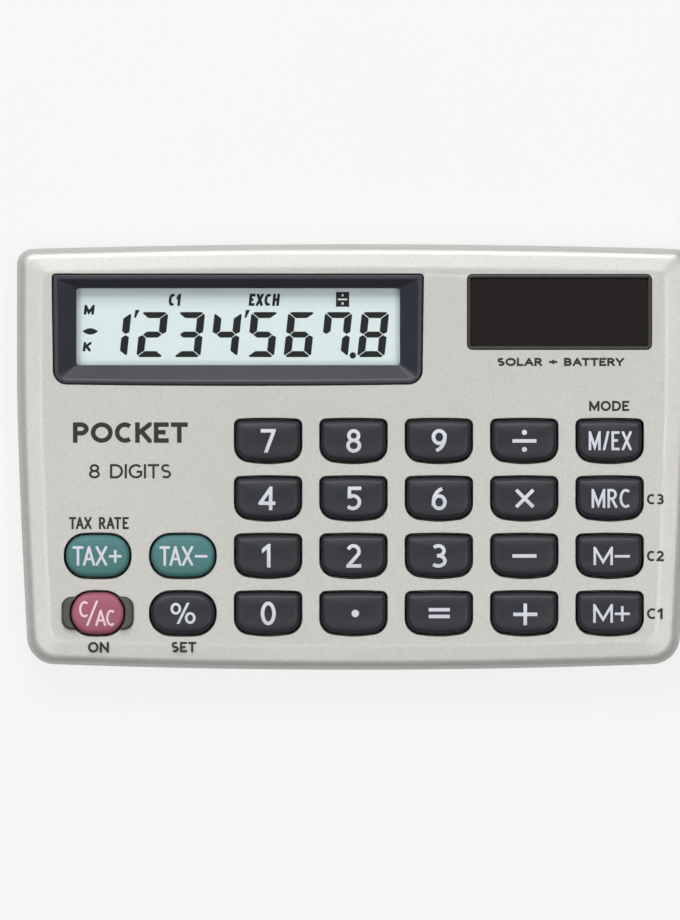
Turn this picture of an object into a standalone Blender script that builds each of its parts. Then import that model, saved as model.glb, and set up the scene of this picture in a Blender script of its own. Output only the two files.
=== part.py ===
"""Pocket calculator with a tax keypad, a segment display and a solar window, lying face up."""

import math

import bmesh
import bpy

MM = 0.001

# Case outline, seen from the front
CASE_WIDTH = 105.0 * MM
CASE_HEIGHT = 66.4 * MM
TOP_BOW = 0.8 * MM
BOTTOM_BOW = 1.1 * MM
SIDE_TURN_Y = 12.0 * MM
SIDE_TURN_SPAN = 45.0 * MM
SIDE_DRAW_IN = 1.85 * MM
SIDE_POWER = 1.4
TOP_CORNER = 2.5 * MM
BOTTOM_CORNER = 4.4 * MM
LEAST_CORNER = 0.8 * MM
CORNER_PASSES = 8
CASE_EDGE_STEPS = 4
CASE_SIDE_STEPS = 6
CASE_LOW_CORNER_STEPS = 5
CASE_TOP_CORNER_STEPS = 4
LEAST_KEY_CORNER = 0.2 * MM
TOP_CORNER_LOSS = 0.4
BOTTOM_CORNER_LOSS = 0.6

# Case levels
FACE_Z = 7.6 * MM
PARTING_Z = 3.6 * MM
GAP = 0.3 * MM
SHOULDER_WIDTH = 4.2 * MM
SHOULDER_SLOPE = 13
SHOULDER_EASE = 0.35 * MM
SHOULDER_RADIUS = 2.2 * MM
SHOULDER_ROLL_END = 74
SHOULDER_STEPS = 5
PANEL_THICKNESS = 1.2 * MM
WALL = 1.1 * MM
HAUNCH_Z = 5.3 * MM
HAUNCH_INSET = 1.9 * MM
CEILING_INSET = 3.2 * MM
REAR_ROUND_WIDTH = 3.2 * MM
REAR_ROUND_DEPTH = 2.4 * MM
REAR_ROUND_STEPS = 4
REAR_FLOOR = 1.0 * MM
LIP_TOP_Z = 4.4 * MM
LIP_INSET = 1.4 * MM
LIP_INNER_INSET = 1.9 * MM
REAR_HAUNCH_Z = 1.5 * MM
REAR_HAUNCH_INSET = 2.9 * MM
REAR_FLOOR_INSET = 4.0 * MM
LABEL_SIZE = (46.0 * MM, 16.0 * MM)
LABEL_CENTRE = (0.0, 14.0 * MM)
LABEL_DEPTH = 0.2 * MM
LABEL_CORNER = 1.0 * MM
RIB_YS = (-12.0 * MM, -26.0 * MM)
RIB_SIZE = (80.0 * MM, 1.0 * MM)
RIB_TOP_Z = 1.8 * MM

# Display
BEZEL_CENTRE = (-18.03 * MM, 19.83 * MM)
BEZEL_HALF = (29.02 * MM, 8.77 * MM)
BEZEL_CORNERS = (0.65 * MM, 2.2 * MM)
BEZEL_BOW = 0.2 * MM
BEZEL_TAPER = 0.2 * MM
WINDOW_CENTRE = (-17.99 * MM, 20.33 * MM)
WINDOW_HALF = (25.24 * MM, 6.0 * MM)
WINDOW_CORNER = 0.47 * MM
BEZEL_LIP_Z = 6.1 * MM
FRAME_BOTTOM_Z = 5.5 * MM
FRAME_FLANGE_TOP_Z = 6.1 * MM
FRAME_FLANGE = 0.5 * MM
FRAME_CLEARANCE = 0.15 * MM
COVER_HALF = (27.0 * MM, 7.4 * MM)
COVER_Z = (4.8 * MM, 5.2 * MM)
PANEL_HALF = (27.5 * MM, 7.9 * MM)
PANEL_Z = (3.9 * MM, 4.5 * MM)
CONNECTOR_CENTRE = (-18.0 * MM, 13.4 * MM)
CONNECTOR_HALF = (25.0 * MM, 0.7 * MM)
CONNECTOR_Z = (3.2 * MM, 3.6 * MM)

# Solar window
SOLAR_CENTRE = (32.09 * MM, 22.59 * MM)
SOLAR_HALF = (14.44 * MM, 5.92 * MM)
SOLAR_CORNER = 0.86 * MM
SOLAR_RIM = 0.55 * MM
SOLAR_LIP_Z = 7.2 * MM
SOLAR_WINDOW_Z = 7.1 * MM
SOLAR_PLATE_HALF = (14.6 * MM, 6.1 * MM)
SOLAR_PLATE_Z = (4.9 * MM, 5.2 * MM)
SOLAR_CELL_HALF = (14.2 * MM, 5.8 * MM)
SOLAR_CELL_Z = (3.9 * MM, 4.6 * MM)
LEAD_RADIUS = 0.3 * MM
LEAD_XS = (22.0 * MM, 25.0 * MM)

# Keys: column and row centres, then the outline of each style's opening
COLUMN_X = (-39.85 * MM, -26.58 * MM, -13.3 * MM, 0.0, 13.3 * MM, 26.6 * MM, 39.9 * MM)
ROW_Y = (2.5 * MM, -6.45 * MM, -15.4 * MM, -24.35 * MM)
DARK_HALF = (5.35 * MM, 3.64 * MM)
DARK_CORNERS = (0.9 * MM, 2.5 * MM)
DARK_BOWS = (0.12 * MM, 0.25 * MM)
PILL_HALF = (5.3 * MM, 3.66 * MM)
PILL_CORNERS = (2.9 * MM, 3.1 * MM)
PILL_BOWS = (0.08 * MM, 0.1 * MM)
POWER_HALF = (4.5 * MM, 3.66 * MM)
POWER_CORNERS = (3.1 * MM, 3.1 * MM)
POWER_BOWS = (0.05 * MM, 0.07 * MM)
POWER_FLANGE_HALF_X = 3.5 * MM
POWER_FLANGE_TOP_Z = 5.9 * MM
KEY_CLEARANCE = 0.3 * MM
KEY_FLANGE = 0.5 * MM
KEY_FLANGE_Z = (5.5 * MM, 6.1 * MM)
KEY_PLUNGER_Z = 5.3 * MM
KEY_PLUNGER_HALF = 1.6 * MM
KEY_PLUNGER_CORNER = 1.2 * MM
KEY_DRAFT = 0.22 * MM
KEY_EDGE_Z = 8.3 * MM
KEY_EDGE_ROUND = 0.35 * MM
KEY_CROWN_EDGE_Z = 8.58 * MM
KEY_CROWN_Z = 8.75 * MM
KEY_CROWN_SCALE = 0.5

# Power-key guard
GUARD_HALF = (5.62 * MM, 2.6 * MM)
GUARD_SLOT_CORNER = 1.6 * MM
GUARD_CLEARANCE = 0.12 * MM
GUARD_TOP_Z = 8.6 * MM
GUARD_ROUND = 0.45 * MM
GUARD_STEPS = 6
GUARD_ARM_HALF = (0.5 * MM, 3.9 * MM)
GUARD_BAR_HALF = (6.1 * MM, 0.65 * MM)
GUARD_BAR_DROP = 5.1 * MM

# Board, mat and small parts
BOARD_HALF_WIDTH = 44.9 * MM
BOARD_BOTTOM_Y = -29.2 * MM
BOARD_STEP_Y = 12.5 * MM
BOARD_STEP_X = 13.5 * MM
BOARD_TOP_Y = 29.3 * MM
BOARD_Z = (2.1 * MM, 2.9 * MM)
BATTERY_OPENING_RADIUS = 8.2 * MM
MAT_Z = (3.2 * MM, 3.6 * MM)
MAT_LEFT_X = -45.0 * MM
MAT_RIGHT_X = 45.0 * MM
MAT_BOTTOM_Y = -28.7 * MM
MAT_STEP_X = -19.5 * MM
MAT_STEP_Y = -11.0 * MM
MAT_TOP_Y = 6.6 * MM
DOME_SIDES = 10
DOME_RADII = (2.3 * MM, 1.4 * MM)
DOME_TOP_Z = 5.0 * MM
DOME_HOLLOW_RADII = (1.9 * MM, 1.0 * MM)
DOME_HOLLOW_TOP_Z = 4.3 * MM
BLOB_CENTRE = (-12.0 * MM, 20.0 * MM)
BLOB_RADIUS = 4.0 * MM
BLOB_Z = (1.3 * MM, 1.8 * MM)
CAPACITOR_CENTRE = (6.0 * MM, 8.6 * MM)
CAPACITOR_HALF = (1.6 * MM, 0.8 * MM)
CAPACITOR_Z = (3.2 * MM, 4.5 * MM)
RESISTOR_CENTRE = (-9.0 * MM, 8.6 * MM)
RESISTOR_HALF = (1.0 * MM, 0.6 * MM)
RESISTOR_Z = (3.2 * MM, 3.7 * MM)
SMALL_BEVEL = 0.12 * MM

# Button cell and its contacts
BATTERY_CENTRE = (-33.0 * MM, -1.0 * MM)
BATTERY_RADIUS = 5.8 * MM
BATTERY_CAP_RADIUS = 4.7 * MM
BATTERY_Z = (1.7 * MM, 4.75 * MM)
BATTERY_CAP_HEIGHT = 0.5 * MM
CELL_POST_RADIUS = 0.7 * MM
CELL_POST_RING = 6.9 * MM
CELL_POST_TOP_Z = 3.5 * MM
CELL_POST_ANGLES = (90.0, 210.0, 330.0)
CONTACT_THICKNESS = 0.15 * MM
CONTACT_WIDTH = 3.0 * MM
CONTACT_REACH = 11.0 * MM
UPPER_CONTACT_Z = 5.05 * MM
UPPER_CONTACT_FOOT_Z = 3.2 * MM
UPPER_CONTACT_FOOT = 1.2 * MM
LOWER_CONTACT_Z = 1.3 * MM
LOWER_CONTACT_FOOT_Z = 1.65 * MM

# Screws: positions, bosses, and the turned outline
CASE_SCREWS = ((-49.4, 26.0), (49.4, 26.0), (-47.7, -27.0), (47.7, -27.0))
BOARD_SCREWS = ((-42.5, 3.5), (-22.5, 3.5), (-2.0, 8.5), (30.0, 10.0))
FRONT_BOSS_RADIUS = 1.45 * MM
BOARD_BOSS_RADIUS = 1.3 * MM
REAR_POST_RADII = (2.3 * MM, 1.6 * MM)
CASE_BOSS_BOTTOM_Z = 4.7 * MM
BOARD_BOSS_BOTTOM_Z = 3.2 * MM
BOSS_EMBED_Z = 6.6 * MM
SCREW_RADIUS = 0.6 * MM
SCREW_HEAD_RADIUS = 1.3 * MM
SCREW_HEAD_HEIGHT = 0.7 * MM
SCREW_HEAD_ROUND = 0.2 * MM
SCREW_POINT = 0.5 * MM
SCREW_TIP_Z = 5.8 * MM
SCREW_HOLE_RADIUS = 0.85 * MM
SCREW_HOLE_TOP_Z = 6.1 * MM
COUNTERBORE_RADIUS = 1.65 * MM
COUNTERBORE_TOP_Z = 1.5 * MM
CASE_HEAD_Z = 0.5 * MM
BOARD_HEAD_Z = 1.15 * MM
BOARD_HEAD_HEIGHT = 0.6 * MM
RECESS_HALF = (0.8 * MM, 0.2 * MM)
RECESS_DEPTH = 0.35 * MM
SCREW_SIDES = 12

PARTS_NAME = "pocket_calculator"
CUTTERS_NAME = "cutters"

DARK_KEYS = (
    ("key_7", 2, 0),
    ("key_8", 3, 0),
    ("key_9", 4, 0),
    ("key_divide", 5, 0),
    ("key_memory_exchange", 6, 0),
    ("key_4", 2, 1),
    ("key_5", 3, 1),
    ("key_6", 4, 1),
    ("key_multiply", 5, 1),
    ("key_memory_recall", 6, 1),
    ("key_1", 2, 2),
    ("key_2", 3, 2),
    ("key_3", 4, 2),
    ("key_minus", 5, 2),
    ("key_memory_minus", 6, 2),
    ("key_0", 2, 3),
    ("key_point", 3, 3),
    ("key_equals", 4, 3),
    ("key_plus", 5, 3),
    ("key_memory_plus", 6, 3),
)
TEAL_KEYS = (("key_tax_plus", 0, 2), ("key_tax_minus", 1, 2))
PERCENT_KEY = ("key_percent", 1, 3)
POWER_KEY = ("key_clear", 0, 3)


def clear_scene():
    """Removes every object of the opening scene."""
    for obj in list(bpy.data.objects):
        bpy.data.objects.remove(obj, do_unlink=True)


def new_collection(name, hidden):
    """A collection under the scene, hidden from renders when it holds cutters."""
    made = bpy.data.collections.new(name)
    bpy.context.scene.collection.children.link(made)
    made.hide_render = hidden
    return made


def principled(name, colour, roughness, metallic=0.0, alpha=1.0):
    """A Principled material from a linear colour."""
    made = bpy.data.materials.new(name)
    made.use_nodes = True
    shader = made.node_tree.nodes["Principled BSDF"]
    shader.inputs["Base Color"].default_value = (*colour, 1.0)
    shader.inputs["Roughness"].default_value = roughness
    shader.inputs["Metallic"].default_value = metallic
    shader.inputs["Alpha"].default_value = alpha
    made.diffuse_color = (*colour, alpha)
    return made


def place(name, mesh, material, location=(0.0, 0.0, 0.0), smooth=False):
    """Adds a finished mesh to the calculator, or to the cutters when it has no material."""
    obj = bpy.data.objects.new(name, mesh)
    obj.location = location
    if material is None:
        bpy.data.collections[CUTTERS_NAME].objects.link(obj)
        obj.hide_render = True
        obj.display_type = "WIRE"
    else:
        bpy.data.collections[PARTS_NAME].objects.link(obj)
        mesh.materials.append(material)
    if smooth:
        mesh.polygons.foreach_set("use_smooth", [True] * len(mesh.polygons))
    return obj


def mesh_from(name, build):
    """A mesh with outward normals, filled in by a function that is given the bmesh."""
    shape = bmesh.new()
    build(shape)
    bmesh.ops.recalc_face_normals(shape, faces=shape.faces)
    mesh = bpy.data.meshes.new(name)
    shape.to_mesh(mesh)
    shape.free()
    return mesh


def loft(name, levels, material, closed=False, location=(0.0, 0.0, 0.0), smooth=False):
    """A solid through outlines that share a point count: capped at both ends, or closed into a ring."""

    def build(shape):
        rings = [[shape.verts.new((x, y, z)) for x, y in points] for points, z in levels]
        pairs = list(zip(rings, rings[1:]))
        if closed:
            pairs.append((rings[-1], rings[0]))
        else:
            shape.faces.new(rings[0])
            shape.faces.new(rings[-1])
        for lower, upper in pairs:
            for i in range(len(lower)):
                j = (i + 1) % len(lower)
                shape.faces.new((lower[i], lower[j], upper[j], upper[i]))

    return place(name, mesh_from(name, build), material, location, smooth)


def prism(name, outlines, z_range, material):
    """Flat outlines drawn up into one object of straight-sided solids."""

    def build(shape):
        for points in outlines:
            base = shape.faces.new([shape.verts.new((x, y, z_range[0])) for x, y in points])
            drawn = bmesh.ops.extrude_face_region(shape, geom=[base], use_keep_orig=True)
            tops = [item for item in drawn["geom"] if isinstance(item, bmesh.types.BMVert)]
            bmesh.ops.translate(shape, verts=tops, vec=(0.0, 0.0, z_range[1] - z_range[0]))

    return place(name, mesh_from(name, build), material)


def cones(name, centres, radii, z_range, sides, material):
    """Upright cones or cylinders of one size, joined into one object."""

    def build(shape):
        for x, y in centres:
            made = bmesh.ops.create_cone(
                shape,
                cap_ends=True,
                segments=sides,
                radius1=radii[0],
                radius2=radii[1],
                depth=z_range[1] - z_range[0],
            )
            bmesh.ops.translate(shape, verts=made["verts"], vec=(x, y, sum(z_range) / 2))

    return place(name, mesh_from(name, build), material)


def turned(name, profile, centre, steps, material):
    """A round solid from a half outline that runs from the top of its axis to the bottom."""
    mesh = bpy.data.meshes.new(name)
    edges = [(i, i + 1) for i in range(len(profile) - 1)]
    mesh.from_pydata([(radius, 0.0, z) for radius, z in profile], edges, [])
    obj = place(name, mesh, material, (*centre, 0.0))
    screw = obj.modifiers.new("turn", "SCREW")
    screw.steps = steps
    screw.render_steps = steps
    screw.use_merge_vertices = True
    screw.merge_threshold = 0.00001
    screw.use_smooth_shade = True
    return obj


def combine(target, tool, operation):
    """An exact Boolean with another object."""
    boolean = target.modifiers.new(tool.name, "BOOLEAN")
    boolean.operation = operation
    boolean.solver = "EXACT"
    boolean.object = tool


def arc(centre, radius, start, end, steps):
    """Points round a corner, angles in degrees."""
    found = []
    for i in range(steps + 1):
        angle = math.radians(start + (end - start) * i / steps)
        found.append((centre[0] + radius * math.cos(angle), centre[1] + radius * math.sin(angle)))
    return found


def mirrored(right_half):
    """A closed outline from its right half, which runs from the bottom centre to the top centre."""
    return right_half + [(-x, y) for x, y in reversed(right_half[1:-1])]


def rectangle(centre, half, corner, steps=3):
    """A rectangle with round corners."""
    x, y = half[0] - corner, half[1] - corner
    points = []
    for start, sign_x, sign_y in ((-90, 1, -1), (0, 1, 1), (90, -1, 1), (180, -1, -1)):
        points += arc((centre[0] + sign_x * x, centre[1] + sign_y * y), corner, start, start + 90, steps)
    return points


def round_outline(centre, half, corners, bows, taper=0.0, inset=0.0, steps=(2, 4)):
    """An upright shield: bowed top and bottom edges, its own corner radius at each, sides drawn in below."""
    top_corner = max(corners[0] - inset, LEAST_KEY_CORNER)
    bottom_corner = max(corners[1] - inset, LEAST_KEY_CORNER)
    half_x = half[0] - inset
    half_y = half[1] - inset
    low_x = half_x - taper - bottom_corner
    high_x = half_x - top_corner
    right = [(0.0, -half_y)]
    right += arc((low_x, bows[1] + bottom_corner - half_y), bottom_corner, -90, 0, steps[1])
    right += arc((high_x, half_y - bows[0] - top_corner), top_corner, 0, 90, steps[0])
    right += [(0.0, half_y)]
    return [(centre[0] + x, centre[1] + y) for x, y in mirrored(right)]


def case_half_width(y):
    """Half the case's width at one height: upright at the top, drawn in towards the bottom edge."""
    below = max(0.0, (SIDE_TURN_Y - y) / SIDE_TURN_SPAN)
    return CASE_WIDTH / 2 - SIDE_DRAW_IN * below**SIDE_POWER


def case_edge_y(x, bow, sign):
    """Height of the bowed top edge (sign 1) or bottom edge (sign -1)."""
    return sign * (CASE_HEIGHT / 2 - bow * (2 * x / CASE_WIDTH) ** 2)


def case_corner(inset, radius, bow, sign):
    """Centre of a right-hand corner arc, set so that the arc meets the side and the edge."""
    centre = [CASE_WIDTH / 2 - inset - radius, sign * (CASE_HEIGHT / 2 - inset - radius)]
    for _ in range(CORNER_PASSES):
        centre[0] = case_half_width(centre[1]) - inset - radius
        centre[1] = case_edge_y(centre[0], bow, sign) - sign * (inset + radius)
    return centre


def case_outline(inset):
    """The case's outline, drawn in by inset on every side."""
    top_radius = max(TOP_CORNER - TOP_CORNER_LOSS * inset, LEAST_CORNER)
    bottom_radius = max(BOTTOM_CORNER - BOTTOM_CORNER_LOSS * inset, LEAST_CORNER)
    low = case_corner(inset, bottom_radius, BOTTOM_BOW, -1)
    high = case_corner(inset, top_radius, TOP_BOW, 1)
    right = []
    for i in range(CASE_EDGE_STEPS):
        x = low[0] * i / CASE_EDGE_STEPS
        right.append((x, case_edge_y(x, BOTTOM_BOW, -1) + inset))
    right += arc(low, bottom_radius, -90, 0, CASE_LOW_CORNER_STEPS)
    for i in range(1, CASE_SIDE_STEPS):
        y = low[1] + (high[1] - low[1]) * i / CASE_SIDE_STEPS
        right.append((case_half_width(y) - inset, y))
    right += arc(high, top_radius, 0, 90, CASE_TOP_CORNER_STEPS)
    for i in range(CASE_EDGE_STEPS - 1, -1, -1):
        x = high[0] * i / CASE_EDGE_STEPS
        right.append((x, case_edge_y(x, TOP_BOW, 1) - inset))
    return mirrored(right)


def shoulder_levels():
    """Outlines up the rolled shoulder of the front case: a rounding, then a shallow slope to the face."""
    slope, end = math.radians(SHOULDER_SLOPE), math.radians(SHOULDER_ROLL_END)
    roll_width = SHOULDER_RADIUS * (math.sin(end) - math.sin(slope))
    slope_drop = math.tan(slope) * (SHOULDER_WIDTH - roll_width - SHOULDER_EASE)
    found = []
    for i in range(SHOULDER_STEPS + 1):
        turn = end + (slope - end) * i / SHOULDER_STEPS
        inset = roll_width - SHOULDER_RADIUS * (math.sin(turn) - math.sin(slope))
        drop = slope_drop + SHOULDER_RADIUS * (math.cos(slope) - math.cos(turn))
        found.append((case_outline(inset), FACE_Z - drop))
    found.append((case_outline(SHOULDER_WIDTH - SHOULDER_EASE * 2), FACE_Z - math.tan(slope) * SHOULDER_EASE))
    found.append((case_outline(SHOULDER_WIDTH), FACE_Z))
    return found


def key_centre(column, row):
    """Where a key stands on the face."""
    return COLUMN_X[column], ROW_Y[row]


def all_keys():
    """Every key with the style of its outline."""
    styled = [(*key, "dark") for key in DARK_KEYS]
    styled += [(*key, "pill") for key in (*TEAL_KEYS, PERCENT_KEY)]
    return styled + [(*POWER_KEY, "power")]


def key_outline(style, centre, inset):
    """The outline of a key's opening, drawn in by inset."""
    half, corners, bows = {
        "dark": (DARK_HALF, DARK_CORNERS, DARK_BOWS),
        "pill": (PILL_HALF, PILL_CORNERS, PILL_BOWS),
        "power": (POWER_HALF, POWER_CORNERS, POWER_BOWS),
    }[style]
    return round_outline(centre, half, corners, bows, inset=inset)


def metres(points):
    """Screw positions, written in millimetres, as metres."""
    return [(x * MM, y * MM) for x, y in points]


def build_front_case(silver):
    """Front shell: rolled shoulder, inner bosses, and an opening for everything on the face."""
    ceiling_z = FACE_Z - PANEL_THICKNESS
    front_edge_z = PARTING_Z + GAP
    inner = [
        (case_outline(CEILING_INSET), ceiling_z),
        (case_outline(HAUNCH_INSET), ceiling_z - GAP),
        (case_outline(WALL), HAUNCH_Z),
        (case_outline(WALL), front_edge_z),
    ]
    outer = [(case_outline(0.0), front_edge_z)] + shoulder_levels()
    case = loft("front_case", inner + outer, silver)
    case_bosses = cones(
        "case_bosses",
        metres(CASE_SCREWS),
        (FRONT_BOSS_RADIUS, FRONT_BOSS_RADIUS),
        (CASE_BOSS_BOTTOM_Z, BOSS_EMBED_Z),
        SCREW_SIDES,
        None,
    )
    board_bosses = cones(
        "board_bosses",
        metres(BOARD_SCREWS),
        (BOARD_BOSS_RADIUS, BOARD_BOSS_RADIUS),
        (BOARD_BOSS_BOTTOM_Z, BOSS_EMBED_Z),
        SCREW_SIDES,
        None,
    )
    screw_holes = cones(
        "screw_holes",
        metres(CASE_SCREWS + BOARD_SCREWS),
        (SCREW_HOLE_RADIUS, SCREW_HOLE_RADIUS),
        (PARTING_Z - GAP * 2, SCREW_HOLE_TOP_Z),
        SCREW_SIDES,
        None,
    )
    through = (ceiling_z - MM, FACE_Z + MM)
    openings = [key_outline(style, key_centre(column, row), 0.0) for _, column, row, style in all_keys()]
    openings.append(bezel_outline(0.0))
    openings.append(rectangle(SOLAR_CENTRE, SOLAR_HALF, SOLAR_CORNER))
    face_openings = prism("face_openings", openings, through, None)
    slot = rectangle(key_centre(*POWER_KEY[1:]), GUARD_HALF, GUARD_SLOT_CORNER)
    guard_slot = prism("guard_slot", [slot], through, None)
    combine(case, case_bosses, "UNION")
    combine(case, board_bosses, "UNION")
    combine(case, screw_holes, "DIFFERENCE")
    combine(case, face_openings, "DIFFERENCE")
    combine(case, guard_slot, "DIFFERENCE")


def build_rear_case(silver):
    """Rear shell: rounded underside, locating lip, screw posts, ribs and a blank label recess."""
    outer = []
    for i in range(REAR_ROUND_STEPS + 1):
        turn = math.pi / 2 * i / REAR_ROUND_STEPS
        inset = REAR_ROUND_WIDTH * (1 - math.sin(turn))
        outer.append((case_outline(inset), REAR_ROUND_DEPTH * (1 - math.cos(turn))))
    inner = [
        (case_outline(0.0), PARTING_Z),
        (case_outline(LIP_INSET), PARTING_Z),
        (case_outline(LIP_INSET), LIP_TOP_Z),
        (case_outline(LIP_INNER_INSET), LIP_TOP_Z),
        (case_outline(REAR_HAUNCH_INSET), REAR_HAUNCH_Z),
        (case_outline(REAR_FLOOR_INSET), REAR_FLOOR),
    ]
    case = loft("rear_case", outer + inner, silver)
    embed_z = REAR_FLOOR - GAP
    posts = cones(
        "rear_posts",
        metres(CASE_SCREWS),
        REAR_POST_RADII,
        (embed_z, LIP_TOP_Z),
        SCREW_SIDES,
        None,
    )
    ring = [
        (
            BATTERY_CENTRE[0] + CELL_POST_RING * math.cos(math.radians(angle)),
            BATTERY_CENTRE[1] + CELL_POST_RING * math.sin(math.radians(angle)),
        )
        for angle in CELL_POST_ANGLES
    ]
    cell_posts = cones(
        "cell_posts",
        ring,
        (CELL_POST_RADIUS, CELL_POST_RADIUS),
        (embed_z, CELL_POST_TOP_Z),
        SCREW_SIDES,
        None,
    )
    rib_half = (RIB_SIZE[0] / 2, RIB_SIZE[1] / 2)
    ribs = prism(
        "ribs",
        [rectangle((0.0, y), rib_half, rib_half[1] / 2, 1) for y in RIB_YS],
        (embed_z, RIB_TOP_Z),
        None,
    )
    counterbores = cones(
        "counterbores",
        metres(CASE_SCREWS),
        (COUNTERBORE_RADIUS, COUNTERBORE_RADIUS),
        (-MM, COUNTERBORE_TOP_Z),
        SCREW_SIDES,
        None,
    )
    post_holes = cones(
        "post_holes",
        metres(CASE_SCREWS),
        (SCREW_HOLE_RADIUS, SCREW_HOLE_RADIUS),
        (COUNTERBORE_TOP_Z - GAP, LIP_TOP_Z + MM),
        SCREW_SIDES,
        None,
    )
    label_half = (LABEL_SIZE[0] / 2, LABEL_SIZE[1] / 2)
    label = prism(
        "label_recess",
        [rectangle(LABEL_CENTRE, label_half, LABEL_CORNER)],
        (-MM, LABEL_DEPTH),
        None,
    )
    combine(case, posts, "UNION")
    combine(case, cell_posts, "UNION")
    combine(case, ribs, "UNION")
    combine(case, counterbores, "DIFFERENCE")
    combine(case, post_holes, "DIFFERENCE")
    combine(case, label, "DIFFERENCE")


def bezel_outline(inset):
    """Outer outline of the display bezel."""
    bows = (0.0, BEZEL_BOW)
    return round_outline(BEZEL_CENTRE, BEZEL_HALF, BEZEL_CORNERS, bows, BEZEL_TAPER, inset)


def window_outline(inset):
    """Outline of the display opening, with the bezel's point count."""
    corners = (WINDOW_CORNER, WINDOW_CORNER)
    return round_outline(WINDOW_CENTRE, WINDOW_HALF, corners, (0.0, 0.0), inset=inset)


def build_display(slate, clear, crystal, rubber):
    """Sloping bezel, clear cover, display panel and its connector strip."""
    outer = bezel_outline(FRAME_CLEARANCE)
    flange = bezel_outline(-FRAME_FLANGE)
    window = window_outline(0.0)
    levels = [
        (window, BEZEL_LIP_Z),
        (window, FRAME_BOTTOM_Z),
        (flange, FRAME_BOTTOM_Z),
        (flange, FRAME_FLANGE_TOP_Z),
        (outer, FRAME_FLANGE_TOP_Z),
        (outer, FACE_Z),
        (bezel_outline(FRAME_CLEARANCE * 2), FACE_Z),
    ]
    loft("display_bezel", levels, slate, closed=True)
    prism("display_cover", [rectangle(WINDOW_CENTRE, COVER_HALF, WINDOW_CORNER)], COVER_Z, clear)
    prism("display_panel", [rectangle(WINDOW_CENTRE, PANEL_HALF, WINDOW_CORNER, 1)], PANEL_Z, crystal)
    strip = rectangle(CONNECTOR_CENTRE, CONNECTOR_HALF, SMALL_BEVEL, 1)
    prism("display_connector", [strip], CONNECTOR_Z, rubber)


def build_solar(rim, smoked, silicon, copper_wire):
    """Thin rim, smoked window, cell and the two leads to the board."""

    def outline(inset):
        half = (SOLAR_HALF[0] - inset, SOLAR_HALF[1] - inset)
        return rectangle(SOLAR_CENTRE, half, max(SOLAR_CORNER - inset, WINDOW_CORNER))

    lip = outline(SOLAR_RIM)
    levels = [
        (lip, SOLAR_LIP_Z),
        (lip, FRAME_BOTTOM_Z),
        (outline(-FRAME_FLANGE), FRAME_BOTTOM_Z),
        (outline(-FRAME_FLANGE), FRAME_FLANGE_TOP_Z),
        (outline(FRAME_CLEARANCE), FRAME_FLANGE_TOP_Z),
        (outline(FRAME_CLEARANCE), FACE_Z),
        (outline(FRAME_CLEARANCE * 2), FACE_Z),
    ]
    loft("solar_rim", levels, rim, closed=True)
    raised = outline(SOLAR_RIM + FRAME_CLEARANCE)
    plate = rectangle(SOLAR_CENTRE, SOLAR_PLATE_HALF, WINDOW_CORNER)
    window_levels = [
        (plate, SOLAR_PLATE_Z[0]),
        (plate, SOLAR_PLATE_Z[1]),
        (raised, SOLAR_PLATE_Z[1]),
        (raised, SOLAR_WINDOW_Z),
    ]
    loft("solar_window", window_levels, smoked)
    prism("solar_cell", [rectangle(SOLAR_CENTRE, SOLAR_CELL_HALF, SMALL_BEVEL, 1)], SOLAR_CELL_Z, silicon)
    for side, x in zip(("positive", "negative"), LEAD_XS):
        build_lead(f"solar_lead_{side}", x, copper_wire)


def build_lead(name, x, material):
    """A short insulated wire from under the solar cell down to the edge of the board."""
    start_z = SOLAR_CELL_Z[0] - GAP - LEAD_RADIUS
    end_z = BOARD_Z[1] + GAP + LEAD_RADIUS
    path = (
        (x, SOLAR_CENTRE[1], start_z),
        (x, BOARD_STEP_Y + 4 * MM, start_z),
        (x, BOARD_STEP_Y, (start_z + end_z) / 2),
        (x, BOARD_STEP_Y - 2 * MM, end_z),
    )
    curve = bpy.data.curves.new(name, "CURVE")
    curve.dimensions = "3D"
    curve.bevel_depth = LEAD_RADIUS
    curve.bevel_resolution = 1
    curve.resolution_u = 2
    curve.use_fill_caps = True
    line = curve.splines.new("POLY")
    line.points.add(len(path) - 1)
    for point, spot in zip(line.points, path):
        point.co = (*spot, 1.0)
    obj = bpy.data.objects.new(name, curve)
    curve.materials.append(material)
    bpy.data.collections[PARTS_NAME].objects.link(obj)


def build_key(name, centre, style, material):
    """One keycap: plunger, retaining flange, drafted sides and a crowned top."""
    origin = (0.0, 0.0)
    half = (KEY_PLUNGER_HALF, KEY_PLUNGER_HALF)
    corners = (KEY_PLUNGER_CORNER, KEY_PLUNGER_CORNER)
    plunger = round_outline(origin, half, corners, (0.0, 0.0))
    flange = key_outline(style, origin, -KEY_FLANGE)
    flange_top_z = KEY_FLANGE_Z[1]
    if style == "power":
        flange_top_z = POWER_FLANGE_TOP_Z
        flange = round_outline(
            origin,
            (POWER_FLANGE_HALF_X, POWER_HALF[1] + KEY_FLANGE),
            POWER_CORNERS,
            POWER_BOWS,
        )
    edge = key_outline(style, origin, KEY_CLEARANCE + KEY_DRAFT)
    crown_edge = key_outline(style, origin, KEY_CLEARANCE + KEY_DRAFT + KEY_EDGE_ROUND)
    crown = [(x * KEY_CROWN_SCALE, y * KEY_CROWN_SCALE) for x, y in crown_edge]
    levels = [
        (plunger, KEY_PLUNGER_Z),
        (flange, KEY_FLANGE_Z[0]),
        (flange, flange_top_z),
        (key_outline(style, origin, KEY_CLEARANCE), KEY_FLANGE_Z[1]),
        (edge, KEY_EDGE_Z),
        (crown_edge, KEY_CROWN_EDGE_Z),
        (crown, KEY_CROWN_Z),
    ]
    loft(name, levels, material, location=(*centre, 0.0))


def build_keys(dark, teal, rose):
    """All the keycaps."""
    materials = {POWER_KEY[0]: rose}
    materials.update({key[0]: teal for key in TEAL_KEYS})
    for name, column, row, style in all_keys():
        build_key(name, key_centre(column, row), style, materials.get(name, dark))


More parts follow.
